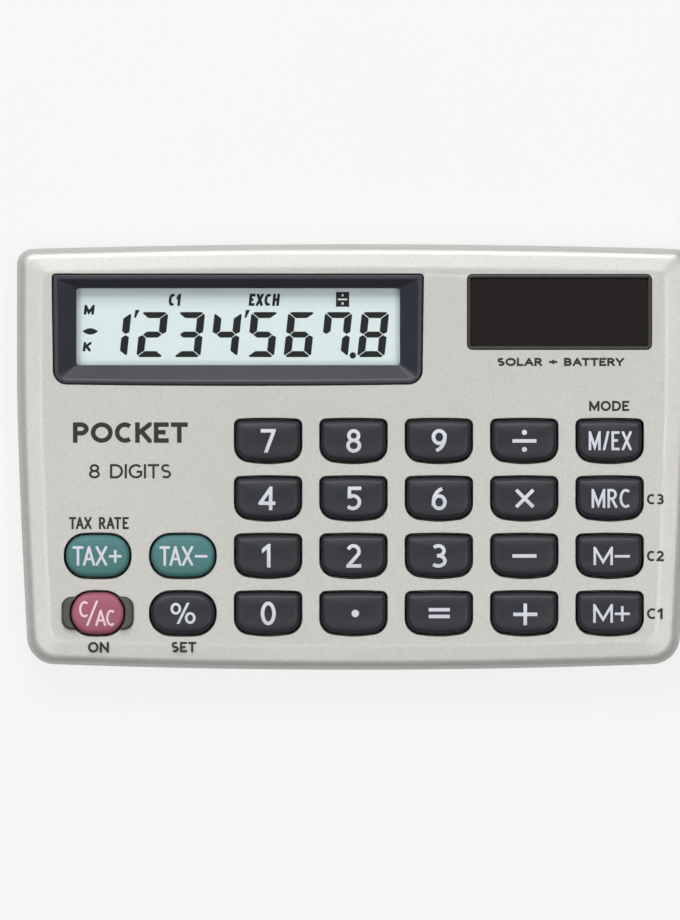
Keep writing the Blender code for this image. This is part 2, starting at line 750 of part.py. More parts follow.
def reach_at(points, y):
    """How far the right-hand side of an outline about the origin lies from its middle at one height."""
    for (x0, y0), (x1, y1) in zip(points, points[1:]):
        if x0 > 0 and y0 <= y <= y1 and y1 > y0:
            return x0 + (x1 - x0) * (y - y0) / (y1 - y0)
    return 0.0


def ridge_outline(side, inset):
    """One curved ridge beside the power key: the slot's rounded end outside, the key's curve inside."""
    reach = GUARD_HALF[1] - GUARD_CLEARANCE - inset
    outer_x = GUARD_HALF[0] - GUARD_CLEARANCE - inset
    corner = GUARD_SLOT_CORNER - inset
    key = key_outline("power", (0.0, 0.0), -inset)
    outer, inner = [], []
    for i in range(GUARD_STEPS + 1):
        y = reach * (2 * i / GUARD_STEPS - 1)
        beyond = max(0.0, abs(y) - (reach - corner))
        outer.append((outer_x - corner + math.sqrt(max(corner**2 - beyond**2, 0.0)), y))
        inner.append((reach_at(key, y), y))
    loop = outer + inner[::-1]
    return [(side * x, y) for x, y in loop]


def build_guard(grey):
    """Power-key guard: two ridges through the face on a U-shaped base under it."""
    centre = key_centre(*POWER_KEY[1:])
    guard = prism(
        "power_key_guard",
        [rectangle((centre[0], centre[1] - GUARD_BAR_DROP), GUARD_BAR_HALF, SMALL_BEVEL, 1)],
        KEY_FLANGE_Z,
        grey,
    )
    for side, word in ((-1, "left"), (1, "right")):
        arm_x = centre[0] + side * (GUARD_HALF[0] - GUARD_CLEARANCE / 2)
        arm_y = centre[1] - GUARD_BAR_DROP + GUARD_ARM_HALF[1] - GUARD_BAR_HALF[1] / 2
        arm = prism(
            f"guard_arm_{word}",
            [rectangle((arm_x, arm_y), GUARD_ARM_HALF, SMALL_BEVEL, 1)],
            KEY_FLANGE_Z,
            None,
        )
        levels = [
            (ridge_outline(side, 0.0), KEY_FLANGE_Z[0] + GAP / 2),
            (ridge_outline(side, 0.0), GUARD_TOP_Z - GUARD_ROUND),
            (ridge_outline(side, GUARD_ROUND / 2), GUARD_TOP_Z),
        ]
        ridge = loft(f"guard_ridge_{word}", levels, None, location=(*centre, 0.0))
        combine(guard, arm, "UNION")
        combine(guard, ridge, "UNION")


def build_board(laminate, resin, ceramic):
    """Circuit board with its screw holes and battery opening, and the parts soldered to it."""
    outline = [
        (-BOARD_HALF_WIDTH, BOARD_BOTTOM_Y),
        (BOARD_HALF_WIDTH, BOARD_BOTTOM_Y),
        (BOARD_HALF_WIDTH, BOARD_STEP_Y),
        (BOARD_STEP_X, BOARD_STEP_Y),
        (BOARD_STEP_X, BOARD_TOP_Y),
        (-BOARD_HALF_WIDTH, BOARD_TOP_Y),
    ]
    board = prism("circuit_board", [outline], BOARD_Z, laminate)
    through = (BOARD_Z[0] - MM, BOARD_Z[1] + MM)
    radii = (SCREW_HOLE_RADIUS, SCREW_HOLE_RADIUS)
    holes = cones("board_holes", metres(BOARD_SCREWS), radii, through, SCREW_SIDES, None)
    opening_radii = (BATTERY_OPENING_RADIUS, BATTERY_OPENING_RADIUS)
    opening = cones("battery_opening", [BATTERY_CENTRE], opening_radii, through, 32, None)
    combine(board, holes, "DIFFERENCE")
    combine(board, opening, "DIFFERENCE")
    blob = [
        (0.0, BLOB_Z[1]),
        (BLOB_RADIUS, BLOB_Z[1]),
        (BLOB_RADIUS * 0.8, BLOB_Z[0] + GAP / 2),
        (0.0, BLOB_Z[0]),
    ]
    turned("chip_blob", blob, BLOB_CENTRE, 20, resin)
    for name, centre, half, z_range, material in (
        ("smoothing_capacitor", CAPACITOR_CENTRE, CAPACITOR_HALF, CAPACITOR_Z, ceramic),
        ("bias_resistor", RESISTOR_CENTRE, RESISTOR_HALF, RESISTOR_Z, resin),
    ):
        prism(name, [rectangle(centre, half, SMALL_BEVEL, 2)], z_range, material)


def build_mat(silicone):
    """Silicone key mat: a flat sheet with one hollow dome under each key."""
    outline = [
        (MAT_LEFT_X, MAT_BOTTOM_Y),
        (MAT_RIGHT_X, MAT_BOTTOM_Y),
        (MAT_RIGHT_X, MAT_TOP_Y),
        (MAT_STEP_X, MAT_TOP_Y),
        (MAT_STEP_X, MAT_STEP_Y),
        (MAT_LEFT_X, MAT_STEP_Y),
    ]
    mat = prism("key_mat", [outline], MAT_Z, silicone)
    centres = [key_centre(column, row) for _, column, row, _ in all_keys()]
    dome_z = (MAT_Z[0] + GAP / 2, DOME_TOP_Z)
    hollow_z = (MAT_Z[0] - MM, DOME_HOLLOW_TOP_Z)
    combine(mat, cones("domes", centres, DOME_RADII, dome_z, DOME_SIDES, None), "UNION")
    combine(mat, cones("hollows", centres, DOME_HOLLOW_RADII, hollow_z, DOME_SIDES, None), "DIFFERENCE")


def build_contact(name, path, steel):
    """A bent strip of spring sheet, given as its side view."""
    y0 = BATTERY_CENTRE[1] - CONTACT_WIDTH / 2
    y1 = BATTERY_CENTRE[1] + CONTACT_WIDTH / 2

    def build(shape):
        rows = [(shape.verts.new((x, y0, z)), shape.verts.new((x, y1, z))) for x, z in path]
        for (a, b), (c, d) in zip(rows, rows[1:]):
            shape.faces.new((a, c, d, b))

    obj = place(name, mesh_from(name, build), steel)
    solid = obj.modifiers.new("sheet", "SOLIDIFY")
    solid.thickness = CONTACT_THICKNESS
    solid.offset = 0.0


def build_battery(steel, spring):
    """Button cell and the two contacts that join it to the board."""
    low, high = BATTERY_Z
    profile = [
        (0.0, high),
        (BATTERY_RADIUS - SMALL_BEVEL, high),
        (BATTERY_RADIUS, high - SMALL_BEVEL),
        (BATTERY_RADIUS, low + BATTERY_CAP_HEIGHT + SMALL_BEVEL),
        (BATTERY_RADIUS - SMALL_BEVEL, low + BATTERY_CAP_HEIGHT),
        (BATTERY_CAP_RADIUS, low + BATTERY_CAP_HEIGHT),
        (BATTERY_CAP_RADIUS - SMALL_BEVEL, low),
        (0.0, low),
    ]
    turned("button_cell", profile, BATTERY_CENTRE, 28, steel)
    x = BATTERY_CENTRE[0]
    end = x + CONTACT_REACH
    upper = (
        (x - CONTACT_WIDTH / 2, UPPER_CONTACT_Z),
        (end - UPPER_CONTACT_FOOT, UPPER_CONTACT_Z),
        (end - UPPER_CONTACT_FOOT, UPPER_CONTACT_FOOT_Z + CONTACT_THICKNESS),
        (end, UPPER_CONTACT_FOOT_Z + CONTACT_THICKNESS),
    )
    lower = (
        (x - CONTACT_WIDTH / 2, LOWER_CONTACT_Z),
        (end - UPPER_CONTACT_FOOT, LOWER_CONTACT_Z),
        (end, LOWER_CONTACT_FOOT_Z),
    )
    build_contact("battery_contact_positive", upper, spring)
    build_contact("battery_contact_negative", lower, spring)


def build_screws(zinc):
    """Case screws from the back, and the shorter ones that hold the board."""
    recess_y = RECESS_HALF[::-1]
    sets = (
        ("case_screw", CASE_SCREWS, CASE_HEAD_Z, SCREW_HEAD_HEIGHT),
        ("board_screw", BOARD_SCREWS, BOARD_HEAD_Z, BOARD_HEAD_HEIGHT),
    )
    for prefix, positions, head_z, head_height in sets:
        z_range = (head_z - MM, head_z + RECESS_DEPTH)
        centres = metres(positions)
        slots_x = [rectangle(spot, RECESS_HALF, SMALL_BEVEL, 1) for spot in centres]
        slots_y = [rectangle(spot, recess_y, SMALL_BEVEL, 1) for spot in centres]
        across = prism(f"{prefix}_slots", slots_x, z_range, None)
        along = prism(f"{prefix}_cross_slots", slots_y, z_range, None)
        head_top = head_z + head_height
        profile = [
            (0.0, SCREW_TIP_Z),
            (SCREW_RADIUS, SCREW_TIP_Z - SCREW_POINT),
            (SCREW_RADIUS, head_top),
            (SCREW_HEAD_RADIUS, head_top),
            (SCREW_HEAD_RADIUS, head_z + SCREW_HEAD_ROUND),
            (SCREW_HEAD_RADIUS - SCREW_HEAD_ROUND, head_z),
            (0.0, head_z),
        ]
        for number, spot in enumerate(centres, 1):
            screw = turned(f"{prefix}_{number}", profile, spot, SCREW_SIDES, zinc)
            combine(screw, across, "DIFFERENCE")
            combine(screw, along, "DIFFERENCE")


def main():
    """Builds the calculator."""
    clear_scene()
    new_collection(PARTS_NAME, False)
    new_collection(CUTTERS_NAME, True)
    silver = principled("silver_painted_abs", (0.64, 0.64, 0.61), 0.42, 0.35)
    rear = principled("grey_moulded_abs", (0.45, 0.45, 0.44), 0.5)
    slate = principled("slate_abs", (0.07, 0.075, 0.095), 0.4)
    clear = principled("clear_acrylic", (0.85, 0.88, 0.88), 0.05, alpha=0.3)
    crystal = principled("display_glass", (0.62, 0.7, 0.68), 0.15)
    smoked = principled("smoked_acrylic", (0.02, 0.018, 0.018), 0.1, alpha=0.75)
    silicon = principled("solar_silicon", (0.022, 0.018, 0.02), 0.25)
    rim = principled("dark_grey_abs", (0.07, 0.068, 0.066), 0.45)
    dark = principled("dark_key_abs", (0.05, 0.05, 0.062), 0.45)
    teal = principled("teal_key_abs", (0.07, 0.21, 0.2), 0.42)
    rose = principled("rose_key_abs", (0.4, 0.13, 0.19), 0.42)
    grey = principled("guard_abs", (0.09, 0.088, 0.085), 0.5)
    laminate = principled("board_laminate", (0.06, 0.19, 0.07), 0.45)
    resin = principled("black_resin", (0.015, 0.015, 0.016), 0.35)
    ceramic = principled("capacitor_ceramic", (0.35, 0.22, 0.1), 0.5)
    silicone = principled("key_silicone", (0.5, 0.5, 0.48), 0.6)
    rubber = principled("zebra_rubber", (0.2, 0.08, 0.07), 0.6)
    wire = principled("lead_vinyl", (0.3, 0.03, 0.03), 0.45)
    steel = principled("cell_steel", (0.55, 0.55, 0.54), 0.25, 1.0)
    spring = principled("contact_spring_steel", (0.6, 0.58, 0.52), 0.3, 1.0)
    zinc = principled("screw_zinc", (0.5, 0.5, 0.5), 0.35, 1.0)
    build_front_case(silver)
    build_rear_case(rear)
    build_display(slate, clear, crystal, rubber)
    build_solar(rim, smoked, silicon, wire)
    build_keys(dark, teal, rose)
    build_guard(grey)
    build_board(laminate, resin, ceramic)
    build_mat(silicone)
    build_battery(steel, spring)
    build_screws(zinc)


main()
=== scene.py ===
"""Looks of a pocket calculator: metallic painted case, sprung keys, segment display and solar window."""

from __future__ import annotations

import logging
import math
from dataclasses import dataclass, field
from enum import Enum
from typing import Any, Callable, Iterable, Sequence

import bmesh
import bpy
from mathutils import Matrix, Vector
from mathutils.geometry import delaunay_2d_cdt


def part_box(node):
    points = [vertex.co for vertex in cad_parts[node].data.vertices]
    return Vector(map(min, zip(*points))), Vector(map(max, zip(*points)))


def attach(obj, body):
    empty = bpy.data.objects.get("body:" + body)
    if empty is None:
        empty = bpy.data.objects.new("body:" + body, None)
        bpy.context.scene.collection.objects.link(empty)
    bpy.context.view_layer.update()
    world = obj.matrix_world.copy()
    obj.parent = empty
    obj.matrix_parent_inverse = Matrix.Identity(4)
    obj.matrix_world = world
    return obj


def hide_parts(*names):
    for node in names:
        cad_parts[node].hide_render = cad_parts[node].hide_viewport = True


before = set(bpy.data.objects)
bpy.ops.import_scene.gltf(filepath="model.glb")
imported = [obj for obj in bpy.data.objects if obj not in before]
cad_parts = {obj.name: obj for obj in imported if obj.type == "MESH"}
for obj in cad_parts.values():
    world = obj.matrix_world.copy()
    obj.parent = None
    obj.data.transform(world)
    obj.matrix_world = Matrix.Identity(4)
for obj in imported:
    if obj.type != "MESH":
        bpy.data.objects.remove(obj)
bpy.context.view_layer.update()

LOG = logging.getLogger("calculator")
MM = 0.001
BODY = "body"
FACE_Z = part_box("front_case")[1][2]

Point = tuple[float, float]
Outline = list[Point]
Level = tuple[Outline, float | list[float]]
HeightAt = Callable[[float, float], float]


class KeyStyle(Enum):
    """Outline of a keycap."""

    DARK = "dark"
    PILL = "pill"
    POWER = "power"


# ----------------------------------------------------------------------------------------------------
# Colours and nodes

# Part of a noise's range that its lows and highs really reach, and the roughness of its octaves.
NOISE_REACH = (0.3, 0.7)
NOISE_ROUGHNESS = 0.55


def linear(hexadecimal: str) -> tuple[float, float, float, float]:
    """Turns an sRGB colour into the linear values that shaders take.

    Args:
        hexadecimal: Six hexadecimal digits.

    Returns:
        Linear red, green, blue and an alpha of 1.
    """
    values = []
    for start in (0, 2, 4):
        channel = int(hexadecimal[start : start + 2], 16) / 255
        values.append(channel / 12.92 if channel <= 0.04045 else ((channel + 0.055) / 1.055) ** 2.4)
    return values[0], values[1], values[2], 1.0


def add_node(tree: Any, kind: str, settings: dict | None = None, inputs: dict | None = None) -> Any:
    """Adds a shader node, sets its properties, and fills or links its inputs.

    Args:
        tree: Node tree that takes the node.
        kind: Blender's name for the node type.
        settings: Node properties by name.
        inputs: Input values by name or number; a socket is linked, anything else is set.

    Returns:
        The new node.
    """
    node = tree.nodes.new(kind)
    for name, value in (settings or {}).items():
        setattr(node, name, value)
    for name, value in (inputs or {}).items():
        if isinstance(value, bpy.types.NodeSocket):
            tree.links.new(value, node.inputs[name])
        else:
            node.inputs[name].default_value = value
    return node


def cloudy(place: Any, size_mm: float, detail: float) -> dict[str, Any]:
    """Inputs of a cloudy noise whose features have a real width, with so many octaves of detail."""
    return {"Vector": place, "Scale": 1 / (size_mm * MM), "Detail": detail, "Roughness": NOISE_ROUGHNESS}


@dataclass(frozen=True)
class Finish:
    """Base of every finish: a Principled surface with grain, slow changes of tone and a fine relief.

    Sizes are real millimetres, so a pattern keeps its scale whatever it is laid on.
    """

    name: str
    colour: str
    tint: str
    roughness: float = 0.45
    roughness_spread: float = 0.08
    metallic: float = 0.0
    specular: float = 0.5
    alpha: float = 1.0
    grain_mm: float = 0.25
    grain_share: float = 0.25
    patch_mm: float = 9.0
    patch_share: float = 0.12
    wear_share: float = 0.6
    relief_mm: float = 0.3
    relief_depth: float = 0.12
    relief_reach_mm: float = 0.05

    def material(self) -> bpy.types.Material:
        """Gives the finish's material, made once and then shared."""
        known = bpy.data.materials.get(self.name)
        return known if known else self.build()

    def build(self) -> bpy.types.Material:
        """Makes the material and its nodes.

        Returns:
            The finished material.
        """
        made = bpy.data.materials.new(self.name)
        made.use_nodes = True
        made.diffuse_color = (*linear(self.colour)[:3], self.alpha)
        tree = made.node_tree
        shader = tree.nodes["Principled BSDF"]
        shader.inputs["Metallic"].default_value = self.metallic
        shader.inputs["Specular IOR Level"].default_value = self.specular
        shader.inputs["Alpha"].default_value = self.alpha
        place = add_node(tree, "ShaderNodeTexCoord").outputs["Object"]
        colour: Any = linear(self.colour)
        for share, tone in self.tones(tree, place):
            inputs = {0: share, 6: colour, 7: linear(tone)}
            colour = add_node(tree, "ShaderNodeMix", {"data_type": "RGBA"}, inputs).outputs[2]
        tree.links.new(colour, shader.inputs["Base Color"])
        ends = (self.roughness - self.roughness_spread / 2, self.roughness + self.roughness_spread / 2)
        roughness = self.clouds(tree, place, self.patch_mm * self.wear_share, 4.0, ends)
        tree.links.new(roughness, shader.inputs["Roughness"])
        self.lay_reliefs(tree, place, shader)
        return made

    def clouds(self, tree: Any, place: Any, size_mm: float, detail: float, ends: Point) -> Any:
        """Cloudy pattern of a real size, spread between two values.

        Args:
            tree: Node tree.
            place: Coordinate socket, in metres.
            size_mm: Width of one feature.
            detail: Octaves of finer noise.
            ends: Values at the pattern's lows and at its highs.

        Returns:
            The pattern's socket.
        """
        noise = add_node(tree, "ShaderNodeTexNoise", inputs=cloudy(place, size_mm, detail))
        inputs = {0: noise.outputs["Fac"], 1: NOISE_REACH[0], 2: NOISE_REACH[1], 3: ends[0], 4: ends[1]}
        return add_node(tree, "ShaderNodeMapRange", inputs=inputs).outputs[0]

    def tones(self, tree: Any, place: Any) -> list[tuple[Any, str]]:
        """Tones laid over the base colour, from the bottom up: fine grain, then slow changes.

        Args:
            tree: Node tree.
            place: Coordinate socket.

        Returns:
            The share of each tone, as a socket, and its colour.
        """
        grain = self.clouds(tree, place, self.grain_mm, 3.0, (0.0, self.grain_share))
        patch = self.clouds(tree, place, self.patch_mm, 2.0, (0.0, self.patch_share))
        return [(grain, self.tint), (patch, self.tint)]

    def reliefs(self) -> list[tuple[float, float, float, float]]:
        """Layers of relief from the bottom up: width in mm, detail, strength and reach in mm."""
        return [(self.relief_mm, 2.0, self.relief_depth, self.relief_reach_mm)]

    def lay_reliefs(self, tree: Any, place: Any, shader: Any) -> None:
        """Lays every layer of relief on the one below it, and links the last to the shader.

        Args:
            tree: Node tree.
            place: Coordinate socket.
            shader: The Principled node.
        """
        inputs: dict[str, Any] = {}
        for size_mm, detail, strength, reach_mm in self.reliefs():
            noise = add_node(tree, "ShaderNodeTexNoise", inputs=cloudy(place, size_mm, detail))
            inputs |= {"Height": noise.outputs["Fac"], "Strength": strength, "Distance": reach_mm * MM}
            inputs["Normal"] = add_node(tree, "ShaderNodeBump", inputs=inputs).outputs["Normal"]
        tree.links.new(inputs["Normal"], shader.inputs["Normal"])


@dataclass(frozen=True)
class FlakePaint(Finish):
    """Silver paint on moulded ABS: aluminium flake under a satin lacquer, so it sparkles in fine grains.

    Real flakes are some 0.03 mm across. They are drawn 0.1 mm across, so that they show.
    """

    relief_reach_mm: float = 0.03
    flake_mm: float = 0.1
    flake_share: float = 0.26
    flake_from: float = 0.45
    flake_colour: str = "FFFFFA"
    peel_mm: float = 1.4
    peel_depth: float = 0.1
    peel_reach_mm: float = 0.04

    def tones(self, tree: Any, place: Any) -> list[tuple[Any, str]]:
        """Flakes of lighter metal over the grain and the slow changes of tone.

        Args:
            tree: Node tree.
            place: Coordinate socket.

        Returns:
            The share of each tone and its colour.
        """
        scale = 1 / (self.flake_mm * MM)
        cells = add_node(tree, "ShaderNodeTexVoronoi", inputs={"Vector": place, "Scale": scale})
        bright = add_node(tree, "ShaderNodeSeparateColor", inputs={0: cells.outputs["Color"]}).outputs[0]
        inputs = {0: bright, 1: self.flake_from, 2: 1.0, 3: 0.0, 4: self.flake_share}
        share = add_node(tree, "ShaderNodeMapRange", inputs=inputs).outputs[0]
        return super().tones(tree, place) + [(share, self.flake_colour)]

    def reliefs(self) -> list[tuple[float, float, float, float]]:
        """Orange peel of the lacquer, with the flake grain on it."""
        peel = (self.peel_mm, 1.0, self.peel_depth, self.peel_reach_mm)
        return [peel, (self.relief_mm, 1.0, self.relief_depth, self.relief_reach_mm)]


@dataclass(frozen=True)
class Striped(Finish):
    """Even dark lines across a piece, such as the hair-thin gaps between the films of a solar cell."""

    stripe_mm: float = 7.1
    line_share: float = 0.03
    line_colour: str = "0E0C0C"

    def tones(self, tree: Any, place: Any) -> list[tuple[Any, str]]:
        """Parting lines over the grain and the slow changes of tone.

        Args:
            tree: Node tree.
            place: Coordinate socket.

        Returns:
            The share of each tone and its colour.
        """
        line = add_node(tree, "ShaderNodeSeparateXYZ", inputs={0: place}).outputs["X"]
        steps = (("MULTIPLY", 1 / (self.stripe_mm * MM)), ("FRACT", 0.0), ("LESS_THAN", self.line_share))
        for step, value in steps:
            line = add_node(tree, "ShaderNodeMath", {"operation": step}, {0: line, 1: value}).outputs[0]
        return super().tones(tree, place) + [(line, self.line_colour)]


@dataclass(frozen=True)
class BrushedMetal(Finish):
    """Plated steel: fine streaks one way from the press and the brush, so highlights stretch across them."""

    metallic: float = 1.0
    streak_mm: float = 0.06
    streak_length: float = 18.0
    streak_share: float = 0.5

    def tones(self, tree: Any, place: Any) -> list[tuple[Any, str]]:
        """Streaks drawn out along one axis.

        Args:
            tree: Node tree.
            place: Coordinate socket.

        Returns:
            The streaks' share and their colour.
        """
        scale = (1 / self.streak_length, 1, 1)
        drawn = add_node(tree, "ShaderNodeMapping", inputs={"Vector": place, "Scale": scale}).outputs[0]
        return [(self.clouds(tree, drawn, self.streak_mm, 3.0, (0.0, self.streak_share)), self.tint)]


@dataclass(frozen=True)
class TracedBoard(Finish):
    """Solder-resisted laminate: copper tracks show through the green lacquer as paler lines."""

    track_mm: float = 1.9
    track_share: float = 0.7
    track_edge: Point = (0.42, 0.5)
    track_colour: str = "6F9A4C"

    def tones(self, tree: Any, place: Any) -> list[tuple[Any, str]]:
        """A maze of tracks over the grain and the slow changes of tone.

        Args:
            tree: Node tree.
            place: Coordinate socket.

        Returns:
            The share of each tone and its colour.
        """
        inputs = {"Vector": place, "Scale": 1 / (self.track_mm * MM)}
        cells = add_node(tree, "ShaderNodeTexVoronoi", {"distance": "CHEBYCHEV"}, inputs)
        low, high = self.track_edge
        inputs = {0: cells.outputs["Distance"], 1: low, 2: high, 3: 0.0, 4: self.track_share}
        track = add_node(tree, "ShaderNodeMapRange", inputs=inputs).outputs[0]
        return super().tones(tree, place) + [(track, self.track_colour)]


@dataclass(frozen=True)
class KeyPlastic(Finish):
    """Spark-textured ABS moulding: its fine texture spreads the highlight along the crown of a key."""

    roughness: float = 0.4
    specular: float = 0.26
    grain_mm: float = 0.12
    grain_share: float = 0.35
    patch_mm: float = 5.0
    relief_mm: float = 0.16
    relief_depth: float = 0.2


@dataclass(frozen=True)
class PadInk(Finish):
    """Pad-printed ink: matt, and a little uneven where the pad lifts."""

    roughness: float = 0.55
    specular: float = 0.3
    grain_mm: float = 0.08
    patch_mm: float = 1.2
    relief_mm: float = 0.1
    relief_depth: float = 0.1


@dataclass(frozen=True)
class Acrylic(Finish):
    """Injection-moulded acrylic: even and glossy, with the faintest waves from the mould."""

    roughness_spread: float = 0.02
    relief_depth: float = 0.01


@dataclass(frozen=True)
class Palette:
    """Every finish on the calculator, named for what it is made of and how."""

    # Flake paint under satin lacquer: the pale, slightly warm silver of the shell and its soft sparkle.
    silver: Finish = FlakePaint(
        "flake_painted_abs", "C9C8C3", "BFBEB8", roughness=0.4, roughness_spread=0.05, metallic=0.35,
        grain_mm=0.09, patch_mm=26.0, relief_mm=0.12, relief_depth=0.14,
    )
    # The same paint sprayed thinner over spark texture: duller and greyer than the face.
    rear: Finish = FlakePaint(
        "flake_painted_abs_rear", "BDBCB7", "ABAAA5", roughness=0.5, metallic=0.3, specular=0.45,
        grain_mm=0.18, grain_share=0.4, patch_mm=14.0, relief_depth=0.3,
    )
    # Satin slate moulding, with a blue cast that shows where the light rakes it.
    slate: Finish = Finish(
        "slate_satin_abs", "2A2C35", "33353F", roughness=0.38, roughness_spread=0.06,
        grain_mm=0.15, grain_share=0.3, patch_mm=8.0, relief_mm=0.2, relief_depth=0.15,
    )
    # Key plastics: near-black with a violet cast, a greyed teal and a dusty rose, all satin.
    dark_key: Finish = KeyPlastic("dark_key_abs", "292A30", "303137", roughness=0.38, specular=0.32)
    teal_key: Finish = KeyPlastic("teal_key_abs", "487978", "528483")
    rose_key: Finish = KeyPlastic("rose_key_abs", "A15B6B", "AB6778", grain_share=0.3)
    # Grey moulded nylon: warm, dry and a little waxy, so it takes only a dull highlight.
    guard: Finish = Finish(
        "grey_guard_nylon", "4F4D4A", "5E5B57", roughness=0.42, specular=0.35,
        grain_mm=0.15, patch_mm=4.0, relief_mm=0.2, relief_depth=0.2,
    )
    # Satin grey moulding: a thin even line of light round the solar window.
    rim: Finish = Finish(
        "dark_rim_abs", "4A4948", "545352", roughness=0.38, roughness_spread=0.06, specular=0.4,
        grain_mm=0.15, patch_mm=6.0, relief_mm=0.2, relief_depth=0.15,
    )
    # Inks: cool white on the dark and teal keys, a pink white on the rose key, warm black on the case.
    key_ink: Finish = PadInk("pale_pad_ink", "D6D8E2", "C6C9D4")
    rose_ink: Finish = PadInk("pale_rose_pad_ink", "F0D2DA", "E4C2CB")
    case_ink: Finish = PadInk("dark_pad_ink", "2F2D2B", "3D3A37", specular=0.25, patch_mm=1.5)
    # Twisted-crystal cell over a matt reflector: cool, pale and slightly grained.
    crystal: Finish = Finish(
        "reflective_crystal_cell", "DEECEC", "D7E5E5", roughness=0.5, roughness_spread=0.05,
        specular=0.15, grain_mm=0.1, grain_share=0.2, patch_mm=14.0, relief_mm=0.15, relief_depth=0.05,
    )
    # Crystal turned dark under its polariser: a flat, almost black figure with no gloss of its own.
    segment: Finish = Finish(
        "dark_crystal_segment", "080909", "0E0F0F", roughness=0.6, roughness_spread=0.05,
        specular=0.05, grain_mm=0.2, patch_mm=4.0, relief_mm=0.2, relief_depth=0.03,
    )
    # Clear cover: thin and glossy, all but unseen from straight above.
    clear: Finish = Acrylic(
        "clear_acrylic", "C8D0D0", "BCC4C4", roughness=0.05, specular=0.4, alpha=0.02,
        grain_mm=1.0, patch_mm=20.0, relief_mm=6.0,
    )
    # Smoked acrylic: brown-black and glassy, letting a little of the cell through.
    smoked: Finish = Acrylic(
        "smoked_acrylic", "2B2625", "322D2C", roughness=0.08, specular=0.25, alpha=0.85,
        grain_mm=0.6, relief_mm=8.0,
    )
    # Amorphous silicon film on glass: wine-dark, parted into its cells by lines as thin as a hair.
    silicon: Finish = Striped(
        "amorphous_silicon", "241C1E", "2C2226", roughness=0.3, specular=0.2,
        grain_mm=0.5, relief_mm=1.5, relief_depth=0.02,
    )
    # Green solder resist over copper: a glossy lacquer, paler over each track.
    board: Finish = TracedBoard(
        "solder_resist_laminate", "2C6B35", "357A3E", roughness=0.35, roughness_spread=0.1
    )
    # Cast black epoxy: glossy in parts and dull where filler comes to the surface.
    resin: Finish = Finish(
        "cast_black_epoxy", "1D1D1F", "29292C", roughness=0.3, roughness_spread=0.15,
        grain_mm=0.4, patch_mm=3.0, relief_mm=0.8, relief_depth=0.3,
    )
    # Fired ceramic: matt tan with dark specks.
    ceramic: Finish = Finish(
        "fired_ceramic", "9C7A4B", "8A6A3F", roughness=0.55, roughness_spread=0.1,
        grain_mm=0.1, grain_share=0.5, patch_mm=2.0, relief_mm=0.1,
    )
    # Moulded silicone: pale grey, dry and faintly cloudy.
    silicone: Finish = Finish(
        "moulded_silicone", "BBB9B3", "AAA8A2", roughness=0.6, roughness_spread=0.1,
        specular=0.35, patch_mm=6.0,
    )
    # Layered rubber: conducting and plain sheets in turn, 0.2 mm each pair, drawn at their real pitch.
    zebra: Finish = Striped(
        "zebra_rubber", "7D4A42", "6B3D37", roughness=0.6, specular=0.3, stripe_mm=0.2, line_share=0.5
    )
    # Extruded vinyl: dull red, with a soft sheen along the lead.
    vinyl: Finish = Finish(
        "extruded_lead_vinyl", "95302A", "842822", roughness=0.4, roughness_spread=0.1, patch_mm=3.0
    )
    # Plated steels: nickel on the cell, warm tin on the springs and blue-white zinc on the screws.
    steel: Finish = BrushedMetal("plated_cell_steel", "C3C3C0", "A5A5A2", roughness=0.25)
    spring: Finish = BrushedMetal("tinned_spring_steel", "C9C4B6", "ADA798", roughness=0.3)
    zinc: Finish = BrushedMetal("zinc_screw_steel", "BDBEBF", "8F9092", roughness=0.35)


PALETTE = Palette()


# ----------------------------------------------------------------------------------------------------
# Outlines and meshes

# Least angle, in degrees, of an edge that is rounded.
HARD_EDGE = 50.0

def arc(centre: Point, radius: float, start: float, end: float, steps: int) -> Outline:
    """Points round a corner.

    Args:
        centre: Middle of the arc.
        radius: Its radius.
        start: First angle in degrees.
        end: Last angle in degrees.
        steps: Number of straight pieces.

    Returns:
        The points, both ends included.
    """
    found = []
    for i in range(steps + 1):
        angle = math.radians(start + (end - start) * i / steps)
        found.append((centre[0] + radius * math.cos(angle), centre[1] + radius * math.sin(angle)))
    return found


def disc(centre: Point, radius: float, steps: int = 24) -> Outline:
    """A round dot or hole of so many straight pieces."""
    return arc(centre, radius, 0, 360 - 360 / steps, steps - 1)


def mirrored(right_half: Outline) -> Outline:
    """Closes an outline from its right half, which runs from the bottom centre to the top centre."""
    return right_half + [(-x, y) for x, y in reversed(right_half[1:-1])]


def rolled(width: float, depth: float, steps: int) -> list[Point]:
    """Inset and drop along a quarter round, from the upright side to the level top."""
    turns = [math.pi / 2 * i / steps for i in range(steps + 1)]
    return [(width * (1 - math.cos(turn)), depth * (1 - math.sin(turn))) for turn in turns]


def rectangle(centre: Point, half: Point, corner: float, steps: int = 8) -> Outline:
    """A rectangle with round corners.

    Args:
        centre: Its middle.
        half: Half its width and height.
        corner: Corner radius.
        steps: Straight pieces in each corner.

    Returns:
        The outline, anticlockwise.
    """
    x, y = half[0] - corner, half[1] - corner
    points: Outline = []
    for start, sign_x, sign_y in ((-90, 1, -1), (0, 1, 1), (90, -1, 1), (180, -1, -1)):
        points += arc((centre[0] + sign_x * x, centre[1] + sign_y * y), corner, start, start + 90, steps)
    return points


